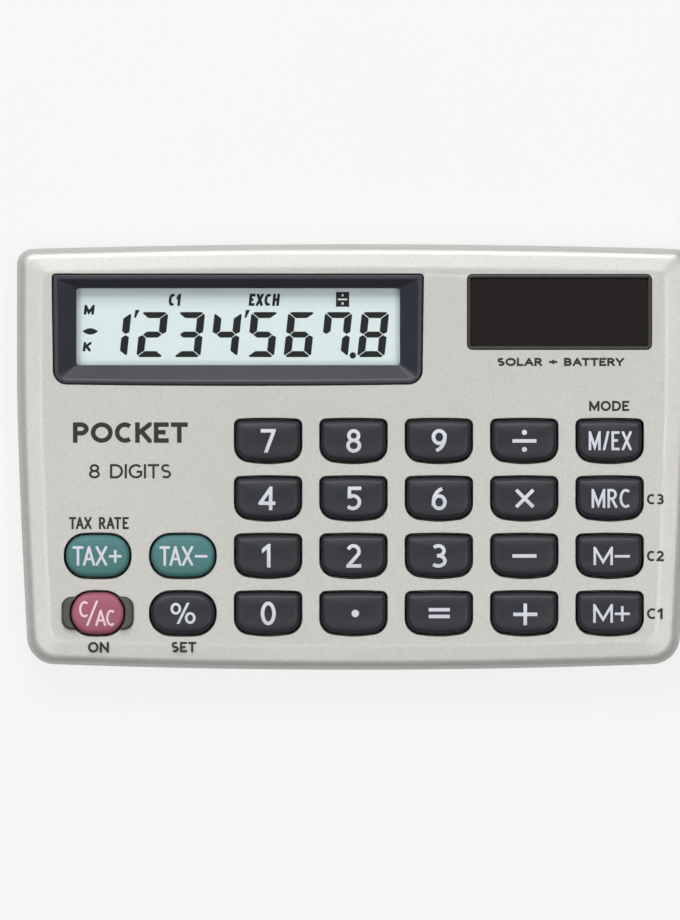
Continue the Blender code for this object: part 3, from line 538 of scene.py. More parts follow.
def lofted(name: str, levels: list[Level], closed: bool = False, filled: bool = True) -> bpy.types.Object:
    """A surface through outlines that share an even count of points.

    Args:
        name: Object name.
        levels: Outlines with their heights, or with a height for each point.
        closed: Whether the last outline joins back to the first.
        filled: Whether the two ends are filled, in strips from side to side.

    Returns:
        The new object, linked to the scene.
    """
    shape = bmesh.new()
    rings = []
    for points, height in levels:
        heights = height if isinstance(height, list) else [height] * len(points)
        rings.append([shape.verts.new((x, y, z)) for (x, y), z in zip(points, heights)])
    pairs = list(zip(rings, rings[1:]))
    if closed:
        pairs.append((rings[-1], rings[0]))
    elif filled:
        for ring in (rings[0], rings[-1]):
            for i in range(len(ring) // 2 - 1):
                shape.faces.new((ring[i], ring[i + 1], ring[-i - 2], ring[-i - 1]))
    for lower, upper in pairs:
        for i in range(len(lower)):
            j = (i + 1) % len(lower)
            shape.faces.new((lower[i], lower[j], upper[j], upper[i]))
    bmesh.ops.recalc_face_normals(shape, faces=shape.faces)
    return linked(name, shape)


def linked(name: str, shape: bmesh.types.BMesh) -> bpy.types.Object:
    """Turns a bmesh into an object in the scene and frees it.

    Args:
        name: Object name.
        shape: The finished bmesh.

    Returns:
        The new object.
    """
    mesh = bpy.data.meshes.new(name)
    shape.to_mesh(mesh)
    shape.free()
    obj = bpy.data.objects.new(name, mesh)
    bpy.context.scene.collection.objects.link(obj)
    return obj


def prisms(name: str, outlines: Iterable[Outline], low: float, high: float) -> bpy.types.Object:
    """Straight-sided solids over flat outlines, joined into one object.

    Args:
        name: Object name.
        outlines: One outline for each solid.
        low: Height of the lower faces.
        high: Height of the upper faces.

    Returns:
        The new object.
    """
    shape = bmesh.new()
    for points in outlines:
        base = shape.faces.new([shape.verts.new((x, y, low)) for x, y in points])
        drawn = bmesh.ops.extrude_face_region(shape, geom=[base], use_keep_orig=True)
        tops = [item for item in drawn["geom"] if isinstance(item, bmesh.types.BMVert)]
        bmesh.ops.translate(shape, verts=tops, vec=(0.0, 0.0, high - low))
    bmesh.ops.recalc_face_normals(shape, faces=shape.faces)
    return linked(name, shape)


def carved(target: bpy.types.Object, cutters: Sequence[bpy.types.Object], width: float) -> None:
    """Cuts openings in a shell, rounds every hard edge, keeps flat faces flat, and removes the cutters.

    Args:
        target: The shell.
        cutters: Solids to take away from it.
        width: Width of the rounding in metres.
    """
    for cutter in cutters:
        boolean = target.modifiers.new(cutter.name, "BOOLEAN")
        boolean.operation = "DIFFERENCE"
        boolean.solver = "EXACT"
        boolean.object = cutter
    bevel = target.modifiers.new("edge_round", "BEVEL")
    bevel.limit_method = "ANGLE"
    bevel.angle_limit = math.radians(HARD_EDGE)
    bevel.width = width
    bevel.segments = 2
    bevel.miter_outer = "MITER_ARC"
    weighted = target.modifiers.new("flat_normals", "WEIGHTED_NORMAL")
    weighted.keep_sharp = True
    target.data.polygons.foreach_set("use_smooth", [True] * len(target.data.polygons))
    graph = bpy.context.evaluated_depsgraph_get()
    graph.update()
    mesh = bpy.data.meshes.new_from_object(target.evaluated_get(graph), depsgraph=graph)
    target.modifiers.clear()
    old = target.data
    target.data = mesh
    bpy.data.meshes.remove(old)
    mesh.name = target.name
    for cutter in cutters:
        bpy.data.objects.remove(cutter, do_unlink=True)


def smooth_by_angle(target: bpy.types.Object, degrees: float) -> None:
    """Shades a mesh smooth, with edges over an angle kept hard."""
    target.data.polygons.foreach_set("use_smooth", [True] * len(target.data.polygons))
    target.data.set_sharp_from_angle(angle=math.radians(degrees))


def dress(piece: bpy.types.Object, finish: Finish, body: str, slot: str, *nodes: str) -> bpy.types.Object:
    """Gives a piece its finish, its body and the CAD nodes it stands for.

    Args:
        piece: The piece.
        finish: Its finish.
        body: CAD body that it rides on.
        slot: Not used.
        *nodes: CAD nodes that it replaces.

    Returns:
        The same piece.
    """
    piece.data.materials.clear()
    piece.data.materials.append(finish.material())
    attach(piece, body)
    if nodes:
        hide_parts(*nodes)
    LOG.info("%s rides on %s, finish %s", piece.name, body, finish.name)
    return piece


# ----------------------------------------------------------------------------------------------------
# Case


@dataclass(frozen=True)
class CaseOutline:
    """The case seen from the front: bowed top and bottom, sides drawn in below."""

    width: float = 105.0 * MM
    height: float = 66.4 * MM
    top_bow: float = 0.8 * MM
    bottom_bow: float = 1.1 * MM
    turn_y: float = 12.0 * MM
    turn_span: float = 45.0 * MM
    draw_in: float = 1.85 * MM
    power: float = 1.4
    top_corner: float = 2.5 * MM
    bottom_corner: float = 4.4 * MM
    least_corner: float = 0.8 * MM
    top_loss: float = 0.4
    bottom_loss: float = 0.6
    corner_passes: int = 8
    edge_steps: int = 18
    side_steps: int = 18
    corner_steps: int = 12

    def half_width(self, y: float) -> float:
        """Half the width at one height."""
        below = max(0.0, (self.turn_y - y) / self.turn_span)
        return self.width / 2 - self.draw_in * below**self.power

    def edge_y(self, x: float, bow: float, sign: int) -> float:
        """Height of the bowed top edge (sign 1) or bottom edge (sign -1)."""
        return sign * (self.height / 2 - bow * (2 * x / self.width) ** 2)

    def corner(self, inset: float, radius: float, bow: float, sign: int) -> Point:
        """Centre of a right-hand corner arc.

        Args:
            inset: How far the outline is drawn in.
            radius: Radius of the arc.
            bow: Bow of the edge it meets.
            sign: 1 at the top, -1 at the bottom.

        Returns:
            The centre, set so that the arc meets the side and the edge.
        """
        x = self.width / 2 - inset - radius
        y = sign * (self.height / 2 - inset - radius)
        for _ in range(self.corner_passes):
            x = self.half_width(y) - inset - radius
            y = self.edge_y(x, bow, sign) - sign * (inset + radius)
        return x, y

    def at(self, inset: float) -> Outline:
        """The outline, drawn in by inset on every side.

        Args:
            inset: Distance in metres.

        Returns:
            The outline, anticlockwise from the bottom centre.
        """
        top_radius = max(self.top_corner - self.top_loss * inset, self.least_corner)
        bottom_radius = max(self.bottom_corner - self.bottom_loss * inset, self.least_corner)
        low = self.corner(inset, bottom_radius, self.bottom_bow, -1)
        high = self.corner(inset, top_radius, self.top_bow, 1)
        right: Outline = []
        for i in range(self.edge_steps):
            x = low[0] * i / self.edge_steps
            right.append((x, self.edge_y(x, self.bottom_bow, -1) + inset))
        right += arc(low, bottom_radius, -90, 0, self.corner_steps)
        for i in range(1, self.side_steps):
            y = low[1] + (high[1] - low[1]) * i / self.side_steps
            right.append((self.half_width(y) - inset, y))
        right += arc(high, top_radius, 0, 90, self.corner_steps)
        for i in range(self.edge_steps - 1, -1, -1):
            x = high[0] * i / self.edge_steps
            right.append((x, self.edge_y(x, self.top_bow, 1) - inset))
        return mirrored(right)


@dataclass(frozen=True)
class Shield:
    """Outline of a key or bezel: its own bow and corner radius at the top and bottom, sides drawn in."""

    centre: Point
    half: Point
    corners: Point
    bows: Point = (0.0, 0.0)
    taper: float = 0.0
    least_corner: float = 0.12 * MM
    steps: int = 10
    edge_steps: int = 6

    def at(self, inset: float) -> Outline:
        """The outline, drawn in by inset on every side.

        Args:
            inset: Distance in metres; negative grows it.

        Returns:
            The outline, anticlockwise from the bottom centre.
        """
        top_corner = max(self.corners[0] - inset, self.least_corner)
        bottom_corner = max(self.corners[1] - inset, self.least_corner)
        half_x, half_y = self.half[0] - inset, self.half[1] - inset
        low_x = half_x - self.taper - bottom_corner
        high_x = half_x - top_corner
        low_turn = self.turn(low_x, self.bows[1])
        high_turn = self.turn(high_x, self.bows[0])
        right: Outline = []
        for i in range(self.edge_steps):
            x = low_x * i / self.edge_steps
            right.append((x, self.bows[1] * (x / low_x) ** 2 - half_y))
        low = (low_x, self.bows[1] - half_y + bottom_corner)
        right += arc(low, bottom_corner, low_turn - 90, 0, self.steps)
        high = (high_x, half_y - self.bows[0] - top_corner)
        right += arc(high, top_corner, 0, 90 - high_turn, self.steps)
        for i in range(self.edge_steps - 1, -1, -1):
            x = high_x * i / self.edge_steps
            right.append((x, half_y - self.bows[0] * (x / high_x) ** 2))
        return [(self.centre[0] + x, self.centre[1] + y) for x, y in mirrored(right)]

    @staticmethod
    def turn(reach: float, bow: float) -> float:
        """Slope, in degrees, of a bowed edge at its end."""
        return math.degrees(math.atan2(2 * bow, reach)) if reach > 0 else 0.0


def shield(centre: Point, half: Point, corners: Point, bows: Point = (0.0, 0.0), taper: float = 0) -> Shield:
    """Makes an outline from sizes in millimetres.

    Args:
        centre: Its middle.
        half: Half its width and height.
        corners: Corner radii at the top and bottom.
        bows: Bows of the top and bottom edges.
        taper: How far the sides are drawn in at the bottom.

    Returns:
        The outline, in metres.
    """
    sizes = [(a * MM, b * MM) for a, b in (centre, half, corners, bows)]
    return Shield(*sizes, taper * MM)


@dataclass
class Layout:
    """Where things are on the face."""

    # Column and row of a key's middle, in millimetres: the two tax columns, then the five of the dark keys.
    columns: tuple[float, ...] = (-39.85, -26.58, -13.3, 0.0, 13.3, 26.6, 39.9)
    rows: tuple[float, ...] = (2.5, -6.45, -15.4, -24.35)
    case: CaseOutline = CaseOutline()
    bezel: Shield = shield((-18.03, 19.83), (29.02, 8.77), (0.65, 2.2), (0.0, 0.2), 0.2)
    window: Shield = shield((-17.99, 20.33), (25.24, 6.0), (0.47, 0.47))
    solar: Shield = shield((32.09, 22.59), (14.44, 5.92), (0.86, 0.86))
    guard_half: Point = (5.62 * MM, 2.6 * MM)
    guard_corner: float = 1.6 * MM

    def centre(self, column: int, row: int) -> Point:
        """Middle of the key in a column and row."""
        return self.columns[column] * MM, self.rows[row] * MM

    def key(self, style: KeyStyle, centre: Point) -> Shield:
        """Outline of the opening for a key.

        Args:
            style: Outline style.
            centre: Where the key stands.

        Returns:
            The opening's outline.
        """
        sizes = {
            KeyStyle.DARK: ((5.35, 3.64), (1.05, 2.55), (0.12, 0.25)),
            KeyStyle.PILL: ((5.3, 3.66), (3.35, 3.45), (0.06, 0.06)),
            KeyStyle.POWER: ((4.5, 3.66), (3.5, 3.5), (0.03, 0.03)),
        }
        half, corners, bows = [(a * MM, b * MM) for a, b in sizes[style]]
        return Shield(centre, half, corners, bows)


@dataclass
class FrontCase:
    """Front shell: a rolled shoulder round the face, and an opening for each key and window."""

    layout: Layout
    keys: Sequence[KeySpec]
    shoulder_width: float = 4.2 * MM
    slope: float = 13.0
    slope_run_in: float = 0.7 * MM
    roll_radius: float = 2.2 * MM
    roll_end: float = 74.0
    slope_steps: int = 10
    roll_steps: int = 14
    # Inset and drop below the face, in millimetres, of the hollow inside, from its middle to its side.
    hollow: tuple[Point, ...] = ((3.2, 1.2), (1.9, 1.5), (1.1, 2.3))
    # Inset and rise over the parting line, in millimetres, of the lower edge, from the inside out.
    lower_edge: tuple[Point, ...] = ((1.1, 0.0), (0.25, 0.0), (0.05, 0.08), (0.0, 0.25))
    cut_reach: Point = (-2.0 * MM, 1.0 * MM)
    edge_round: float = 0.14 * MM

    def shoulder(self) -> list[Point]:
        """Profile of the rolled edge: a shallow slope that runs into a rounding.

        Returns:
            Inset from the outline and drop below the face, from the face outwards.
        """
        slope, end = math.radians(self.slope), math.radians(self.roll_end)
        roll_width = self.roll_radius * (math.sin(end) - math.sin(slope))
        slope_width = self.shoulder_width - roll_width
        found = [(self.shoulder_width, 0.0)]
        drop = 0.0
        for i in range(self.slope_steps):
            middle = slope_width * (i + 0.5) / self.slope_steps
            drop += math.tan(slope * min(1.0, middle / self.slope_run_in)) * slope_width / self.slope_steps
            found.append((self.shoulder_width - slope_width * (i + 1) / self.slope_steps, drop))
        for i in range(1, self.roll_steps + 1):
            turn = slope + (end - slope) * i / self.roll_steps
            inset = roll_width - self.roll_radius * (math.sin(turn) - math.sin(slope))
            found.append((inset, drop + self.roll_radius * (math.cos(slope) - math.cos(turn))))
        return found

    def build(self) -> bpy.types.Object:
        """Makes the shell.

        Returns:
            The finished front case.
        """
        case = self.layout.case
        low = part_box("front_case")[0][2]
        levels: list[Level] = [(case.at(inset * MM), FACE_Z - drop * MM) for inset, drop in self.hollow]
        levels += [(case.at(inset * MM), low + rise * MM) for inset, rise in self.lower_edge]
        levels += [(case.at(inset), FACE_Z - drop) for inset, drop in reversed(self.shoulder())]
        shell = lofted("case_front", levels)
        bottom, top = (FACE_Z + reach for reach in self.cut_reach)
        outlines = [self.layout.key(key.style, key.centre(self.layout)).at(0.0) for key in self.keys]
        outlines += [self.layout.bezel.at(0.0), self.layout.solar.at(0.0)]
        openings = prisms("front_openings", outlines, bottom, top)
        slot = rectangle(power_key().centre(self.layout), self.layout.guard_half, self.layout.guard_corner)
        guard_slot = prisms("guard_opening", [slot], bottom, top)
        carved(shell, (openings, guard_slot), self.edge_round)
        return dress(shell, PALETTE.silver, BODY, "silver_shell", "front_case")


@dataclass
class RearCase:
    """Rear shell: rounded underside, screw counterbores and a blank label recess."""

    layout: Layout
    round_width: float = 3.2 * MM
    round_depth: float = 2.4 * MM
    round_steps: int = 12
    # Inset and height, in millimetres, of the parting edge, the lip and the hollow, from the outside in.
    parting: tuple[Point, ...] = ((0.0, 3.35), (0.05, 3.52), (0.25, 3.6), (1.4, 3.6))
    lip: tuple[Point, ...] = ((1.4, 4.4), (1.9, 4.4))
    hollow: tuple[Point, ...] = ((2.9, 1.5), (4.0, 1.0))
    screw_opening: float = 1.65 * MM
    bore_reach: Point = (-1.0 * MM, 6.0 * MM)
    label_half: Point = (23.0 * MM, 8.0 * MM)
    label_centre: Point = (0.0, 14.0 * MM)
    label_corner: float = 1.0 * MM
    label_depth: float = 0.2 * MM
    edge_round: float = 0.1 * MM

    def build(self) -> bpy.types.Object:
        """Makes the shell.

        Returns:
            The finished rear case.
        """
        case = self.layout.case
        rounding = reversed(rolled(self.round_width, self.round_depth, self.round_steps))
        levels: list[Level] = [(case.at(inset), rise) for inset, rise in rounding]
        for inset, height in self.parting + self.lip + self.hollow:
            levels.append((case.at(inset * MM), height * MM))
        shell = lofted("case_rear", levels)
        circles = []
        for number in range(1, 5):
            low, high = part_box(f"case_screw_{number}")
            spot = ((low[0] + high[0]) / 2, (low[1] + high[1]) / 2)
            circles.append(disc(spot, self.screw_opening, 48))
        bottom, top = self.bore_reach
        bores = prisms("rear_bores", circles, bottom, top)
        recess = rectangle(self.label_centre, self.label_half, self.label_corner)
        label = prisms("rear_label", [recess], bottom, self.label_depth)
        carved(shell, (bores, label), self.edge_round)
        return dress(shell, PALETTE.rear, BODY, "rear_shell", "rear_case")


# ----------------------------------------------------------------------------------------------------
# Lettering: plain strokes of one thickness, drawn along centre lines in a cell one unit wide and one high


Path = tuple[Outline, bool]
Box = tuple[float, float, float, float]
# Angle, in degrees, of one straight piece of an oval; gap between letters as a share of their height.
OVAL_STEP = 12
LETTER_GAP = 0.13
# Widest reach of a mitred corner and shortest stretch of a line, as shares of half a stroke and a stroke.
MOST_MITRE = 6.0
LEAST_STRETCH = 0.001
NEAR = 1e-6
KERNING = {"TA": -0.16, "AT": -0.16, "AX": -0.1, "LA": -0.04, "TT": -0.06, "RY": -0.06, "RA": -0.05}


@dataclass(frozen=True)
class Glyph:
    """A letter's centre lines and its width as a share of its height."""

    width: float
    paths: tuple[Path, ...]


def oval(centre: Point, radii: Point, start: float = 0, end: float = 360) -> Outline:
    """Part of an ellipse, as centre-line points.

    Args:
        centre: Middle of the ellipse.
        radii: Half its width and height.
        start: First angle in degrees.
        end: Last angle in degrees; smaller than start for a clockwise sweep.

    Returns:
        The points.
    """
    steps = max(3, round(abs(end - start) / OVAL_STEP))
    turns = [math.radians(start + (end - start) * i / steps) for i in range(steps + 1)]
    return [(centre[0] + radii[0] * math.cos(turn), centre[1] + radii[1] * math.sin(turn)) for turn in turns]


def glyph(width: float, *lines: Outline, rings: Sequence[Outline] = ()) -> Glyph:
    """Puts a letter together from open lines and closed rings.

    Args:
        width: Width as a share of the height.
        *lines: Open centre lines.
        rings: Closed centre lines, whose last point repeats the first.

    Returns:
        The letter.
    """
    return Glyph(width, tuple((line, False) for line in lines) + tuple((ring[:-1], True) for ring in rings))


GLYPHS: dict[str, Glyph] = {
    " ": glyph(0.3),
    "0": glyph(0.58, rings=[oval((0.5, 0.5), (0.5, 0.5))]),
    "1": glyph(0.26, [(0.0, 0.8), (1.0, 1.0), (1.0, 0.0)]),
    "2": glyph(0.56, oval((0.48, 0.72), (0.48, 0.28), 160, -28) + [(0.0, 0.0), (1.0, 0.0)]),
    "3": glyph(
        0.56,
        oval((0.42, 0.755), (0.5, 0.245), 140, -90) + [(0.3, 0.51)],
        oval((0.42, 0.255), (0.58, 0.255), 90, -138),
    ),
    "4": glyph(0.64, [(0.78, 0.0), (0.78, 1.0), (0.0, 0.26), (1.0, 0.26)]),
    "5": glyph(
        0.54,
        [(0.9, 1.0), (0.14, 1.0), (0.1, 0.5)],
        [(0.13, 0.55)] + oval((0.42, 0.315), (0.58, 0.315), 108, -138),
    ),
    "6": glyph(0.58, oval((1.0, 0.31), (1.0, 0.69), 180, 104), rings=[oval((0.5, 0.31), (0.5, 0.31))]),
    "7": glyph(0.56, [(0.0, 1.0), (1.0, 1.0), (0.34, 0.0)]),
    "8": glyph(0.56, rings=[oval((0.5, 0.76), (0.42, 0.24)), oval((0.5, 0.265), (0.5, 0.265))]),
    "9": glyph(0.58, oval((0.0, 0.69), (1.0, 0.69), 0, -76), rings=[oval((0.5, 0.69), (0.5, 0.31))]),
    "%": glyph(
        1.1,
        [(0.3, 0.0), (0.7, 1.0)],
        rings=[oval((0.18, 0.75), (0.18, 0.25)), oval((0.82, 0.25), (0.18, 0.25))],
    ),
    "+": glyph(0.62, [(0.0, 0.5), (1.0, 0.5)], [(0.5, 0.15), (0.5, 0.85)]),
    "/": glyph(0.34, [(0.0, 0.0), (1.0, 1.0)]),
    "A": glyph(0.72, [(0.0, 0.0), (0.5, 1.0), (1.0, 0.0)], [(0.17, 0.32), (0.83, 0.32)]),
    "B": glyph(
        0.56,
        [(0.0, 0.52)] + oval((0.5, 0.76), (0.4, 0.24), -90, 90) + [(0.0, 1.0), (0.0, 0.0)],
        [(0.0, 0.0)] + oval((0.5, 0.26), (0.5, 0.26), -90, 90) + [(0.0, 0.52)],
    ),
    "C": glyph(0.66, oval((0.58, 0.5), (0.58, 0.5), 52, 308)),
    "D": glyph(0.7, rings=[[(0.0, 0.0)] + oval((0.4, 0.5), (0.6, 0.5), -90, 90) + [(0.0, 1.0), (0.0, 0.0)]]),
    "E": glyph(0.5, [(1.0, 1.0), (0.0, 1.0), (0.0, 0.0), (1.0, 0.0)], [(0.0, 0.52), (0.92, 0.52)]),
    "G": glyph(0.74, oval((0.56, 0.5), (0.56, 0.5), 48, 318) + [(1.0, 0.2), (1.0, 0.46), (0.6, 0.46)]),
    "H": glyph(0.64, [(0.0, 0.0), (0.0, 1.0)], [(1.0, 0.0), (1.0, 1.0)], [(0.0, 0.52), (1.0, 0.52)]),
    "I": glyph(0.0, [(0.0, 0.0), (0.0, 1.0)]),
    "K": glyph(0.58, [(0.0, 0.0), (0.0, 1.0)], [(1.0, 1.0), (0.0, 0.4)], [(0.3, 0.6), (1.0, 0.0)]),
    "L": glyph(0.48, [(0.0, 1.0), (0.0, 0.0), (1.0, 0.0)]),
    "M": glyph(0.84, [(0.0, 0.0), (0.0, 1.0), (0.5, 0.12), (1.0, 1.0), (1.0, 0.0)]),
    "N": glyph(0.7, [(0.0, 0.0), (0.0, 1.0), (1.0, 0.0), (1.0, 1.0)]),
    "O": glyph(0.84, rings=[oval((0.5, 0.5), (0.5, 0.5))]),
    "P": glyph(0.54, [(0.0, 0.0), (0.0, 1.0)] + oval((0.5, 0.73), (0.5, 0.27), 90, -90) + [(0.0, 0.46)]),
    "R": glyph(
        0.56,
        [(0.0, 0.0), (0.0, 1.0)] + oval((0.45, 0.745), (0.47, 0.255), 90, -90) + [(0.0, 0.49)],
        [(0.42, 0.49), (1.0, 0.0)],
    ),
    "S": glyph(
        0.52, oval((0.5, 0.755), (0.47, 0.245), 40, 270) + oval((0.5, 0.255), (0.5, 0.255), 90, -142)
    ),
    "T": glyph(0.6, [(0.0, 1.0), (1.0, 1.0)], [(0.5, 1.0), (0.5, 0.0)]),
    "U": glyph(0.64, [(0.0, 1.0)] + oval((0.5, 0.34), (0.5, 0.34), 180, 360) + [(1.0, 1.0)]),
    "X": glyph(0.66, [(0.0, 0.0), (1.0, 1.0)], [(0.0, 1.0), (1.0, 0.0)]),
    "Y": glyph(0.66, [(0.0, 1.0), (0.5, 0.44), (1.0, 1.0)], [(0.5, 0.44), (0.5, 0.0)]),
}


def on_edge(point: Point) -> bool:
    """Whether a centre-line point lies on the edge of its cell, where a stroke runs out to the cut."""
    return any(abs(value) < NEAR or abs(value - 1) < NEAR for value in point)


def ribbon(points: Outline, stroke: float, closed: bool, run_out: tuple[bool, bool]) -> list[Outline]:
    """Gives a centre line its thickness, with mitred corners.

    Args:
        points: Centre line.
        stroke: Thickness.
        closed: Whether the line is a ring.
        run_out: Whether each end runs on past its point.

    Returns:
        One four-sided piece for each stretch of the line.
    """
    line = [Vector(points[0])]
    for point in points[1:]:
        if (Vector(point) - line[-1]).length > stroke * LEAST_STRETCH:
            line.append(Vector(point))
    if not closed:
        for end, inner, on in ((0, 1, run_out[0]), (-1, -2, run_out[1])):
            if on:
                line[end] = line[end] + (line[end] - line[inner]).normalized() * stroke
    count = len(line)
    sides = []
    for i, point in enumerate(line):
        before = (point - line[i - 1]).normalized() if closed or i > 0 else None
        after = (line[(i + 1) % count] - point).normalized() if closed or i < count - 1 else None
        first, second = before or after, after or before
        across = (Vector((-first.y, first.x)) + Vector((-second.y, second.x))).normalized()
        grow = 1 / max(across.dot(Vector((-first.y, first.x))), 1 / MOST_MITRE)
        offset = across * (stroke / 2 * grow)
        sides.append((point + offset, point - offset))
    last = count if closed else count - 1
    pieces = []
    for i in range(last):
        (left, right), (next_left, next_right) = sides[i], sides[(i + 1) % count]
        pieces.append([(p.x, p.y) for p in (right, next_right, next_left, left)])
    return pieces


def clipped(points: Outline, cell: Box) -> Outline:
    """Cuts a convex piece to a cell.

    Args:
        points: The piece.
        cell: Left, bottom, right and top.

    Returns:
        What is left of it; empty if nothing is.
    """
    for axis, limit, sign in ((0, cell[0], 1), (1, cell[1], 1), (0, cell[2], -1), (1, cell[3], -1)):
        kept: Outline = []
        for i, point in enumerate(points):
            ahead = points[(i + 1) % len(points)]
            here, there = (point[axis] - limit) * sign, (ahead[axis] - limit) * sign
            if here >= 0:
                kept.append(point)
            if (here > 0 > there) or (here < 0 < there):
                share = here / (here - there)
                kept.append(tuple(a + (b - a) * share for a, b in zip(point, ahead)))
        points = kept
        if not points:
            return []
    return points


# ----------------------------------------------------------------------------------------------------
# Print

# Times that an edge of a print may be halved.
MOST_SPLITS = 6


def subdivided(shape: bmesh.types.BMesh, longest: float) -> None:
    """Splits a flat mesh into triangles with no edge over a length, so that it can follow a curved surface.

    Args:
        shape: Mesh to split.
        longest: Longest edge that is left.
    """
    bmesh.ops.triangulate(shape, faces=shape.faces)
    for _ in range(MOST_SPLITS):
        long_edges = [edge for edge in shape.edges if edge.calc_length() > longest]
        if not long_edges:
            return
        bmesh.ops.subdivide_edges(shape, edges=long_edges, cuts=1)
        bmesh.ops.triangulate(shape, faces=shape.faces)


def inside(corners: Sequence[Vector], point: Vector) -> bool:
    """Whether a point lies inside a flat polygon.

    Args:
        corners: The polygon.
        point: The point.

    Returns:
        True if a line drawn sideways from the point crosses the polygon an odd number of times.
    """
    crossed = False
    for i, here in enumerate(corners):
        there = corners[i - 1]
        if (here.y > point.y) != (there.y > point.y):
            along = here.x + (there.x - here.x) * (point.y - here.y) / (there.y - here.y)
            crossed ^= point.x < along
    return crossed


@dataclass
class Print:
    """Ink laid a hair above a surface: flat shapes merged into one, then laid on the surface."""

    name: str
    finish: Finish
    body: str
    slot: str
    lift: float = 0.012 * MM
    longest: float = 0.6 * MM
    merge_mm: float = 1e-4
    pieces: list[Outline] = field(default_factory=list)

    def add_word(self, text: str, box: Box, stroke: float, slant: float = 0.0) -> None:
        """Adds a word, fitted to a box.

        Args:
            text: The word.
            box: Left, bottom, right and top of the ink, in metres.
            stroke: Stroke thickness in metres.
            slant: Lean of the letters, as a share of their height.
        """
        high = box[3] - box[1] - stroke
        widths = [GLYPHS[letter].width * high for letter in text]
        pairs = [first + second for first, second in zip(text, text[1:])]
        gaps = [(LETTER_GAP + KERNING.get(pair, 0.0)) * high + stroke for pair in pairs]
        free = box[2] - box[0] - stroke - sum(gaps)
        scale = free / sum(widths) if sum(widths) > 0 else 1.0
        left = box[0] + stroke / 2
        for letter, width, gap in zip(text, widths, gaps + [0.0]):
            reach = width * scale
            cell = (left - stroke / 2, box[1], left + reach + stroke / 2, box[3])
            for path, closed in GLYPHS[letter].paths:
                placed = [(left + x * reach, box[1] + stroke / 2 + y * high) for x, y in path]
                ends = (on_edge(path[0]), on_edge(path[-1]))
                for piece in ribbon(placed, stroke, closed, ends):
                    kept = clipped(piece, cell)
                    if len(kept) > 2:
                        self.pieces.append([(x + (y - box[1]) * slant, y) for x, y in kept])
            left += reach + gap

    def merged(self) -> bmesh.types.BMesh:
        """Merges every shape into one flat sheet with nothing laid double.

        Returns:
            The sheet, at height 0.
        """
        points: list[Vector] = []
        faces: list[list[int]] = []
        for piece in self.pieces:
            area = sum(x0 * y1 - x1 * y0 for (x0, y0), (x1, y1) in zip(piece, piece[1:] + piece[:1]))
            if abs(area) < self.merge_mm * MM * MM:
                continue
            ordered = piece if area > 0 else piece[::-1]
            faces.append(list(range(len(points), len(points) + len(ordered))))
            points += [Vector((x / MM, y / MM)) for x, y in ordered]
        found = delaunay_2d_cdt(points, [], faces, 1, self.merge_mm)
        shape = bmesh.new()
        corners = [shape.verts.new((point.x * MM, point.y * MM, 0.0)) for point in found[0]]
        outlines = [[points[i] for i in face] for face in faces]
        reaches = [(min(p.x for p in line), max(p.x for p in line)) for line in outlines]
        for face in found[2]:
            middle = sum((found[0][i] for i in face), Vector((0.0, 0.0))) / len(face)
            near = [line for line, (low, high) in zip(outlines, reaches) if low <= middle.x <= high]
            if any(inside(line, middle) for line in near):
                shape.faces.new([corners[i] for i in face])
        loose = [corner for corner in corners if not corner.link_faces]
        bmesh.ops.delete(shape, geom=loose, context="VERTS")
        return shape

    def lay(self, height: HeightAt) -> bpy.types.Object:
        """Lays the merged sheet on a surface.

        Args:
            height: Height of the surface at a point.

        Returns:
            The dressed print.
        """
        shape = self.merged()
        subdivided(shape, self.longest)
        for vertex in shape.verts:
            vertex.co.z = height(vertex.co.x, vertex.co.y) + self.lift
        shape.normal_update()
        flipped = [face for face in shape.faces if face.normal.z < 0]
        bmesh.ops.reverse_faces(shape, faces=flipped)
        return dress(linked(self.name, shape), self.finish, self.body, self.slot)


# ----------------------------------------------------------------------------------------------------
# Keys


@dataclass(frozen=True)
class KeySpec:
    """One key: its node, place, legend and style.

    The legend's box (left, bottom, right and top) is in millimetres from the key's middle.
    """

    node: str
    column: int
    row: int
    legend: str
    box: Box
    style: KeyStyle = KeyStyle.DARK
    finish: Finish = PALETTE.dark_key
    slot: str = "dark_key_plastic"
    sign_width: float = 1.95

    def centre(self, layout: Layout) -> Point:
        """Where the key stands on the face."""
        return layout.centre(self.column, self.row)


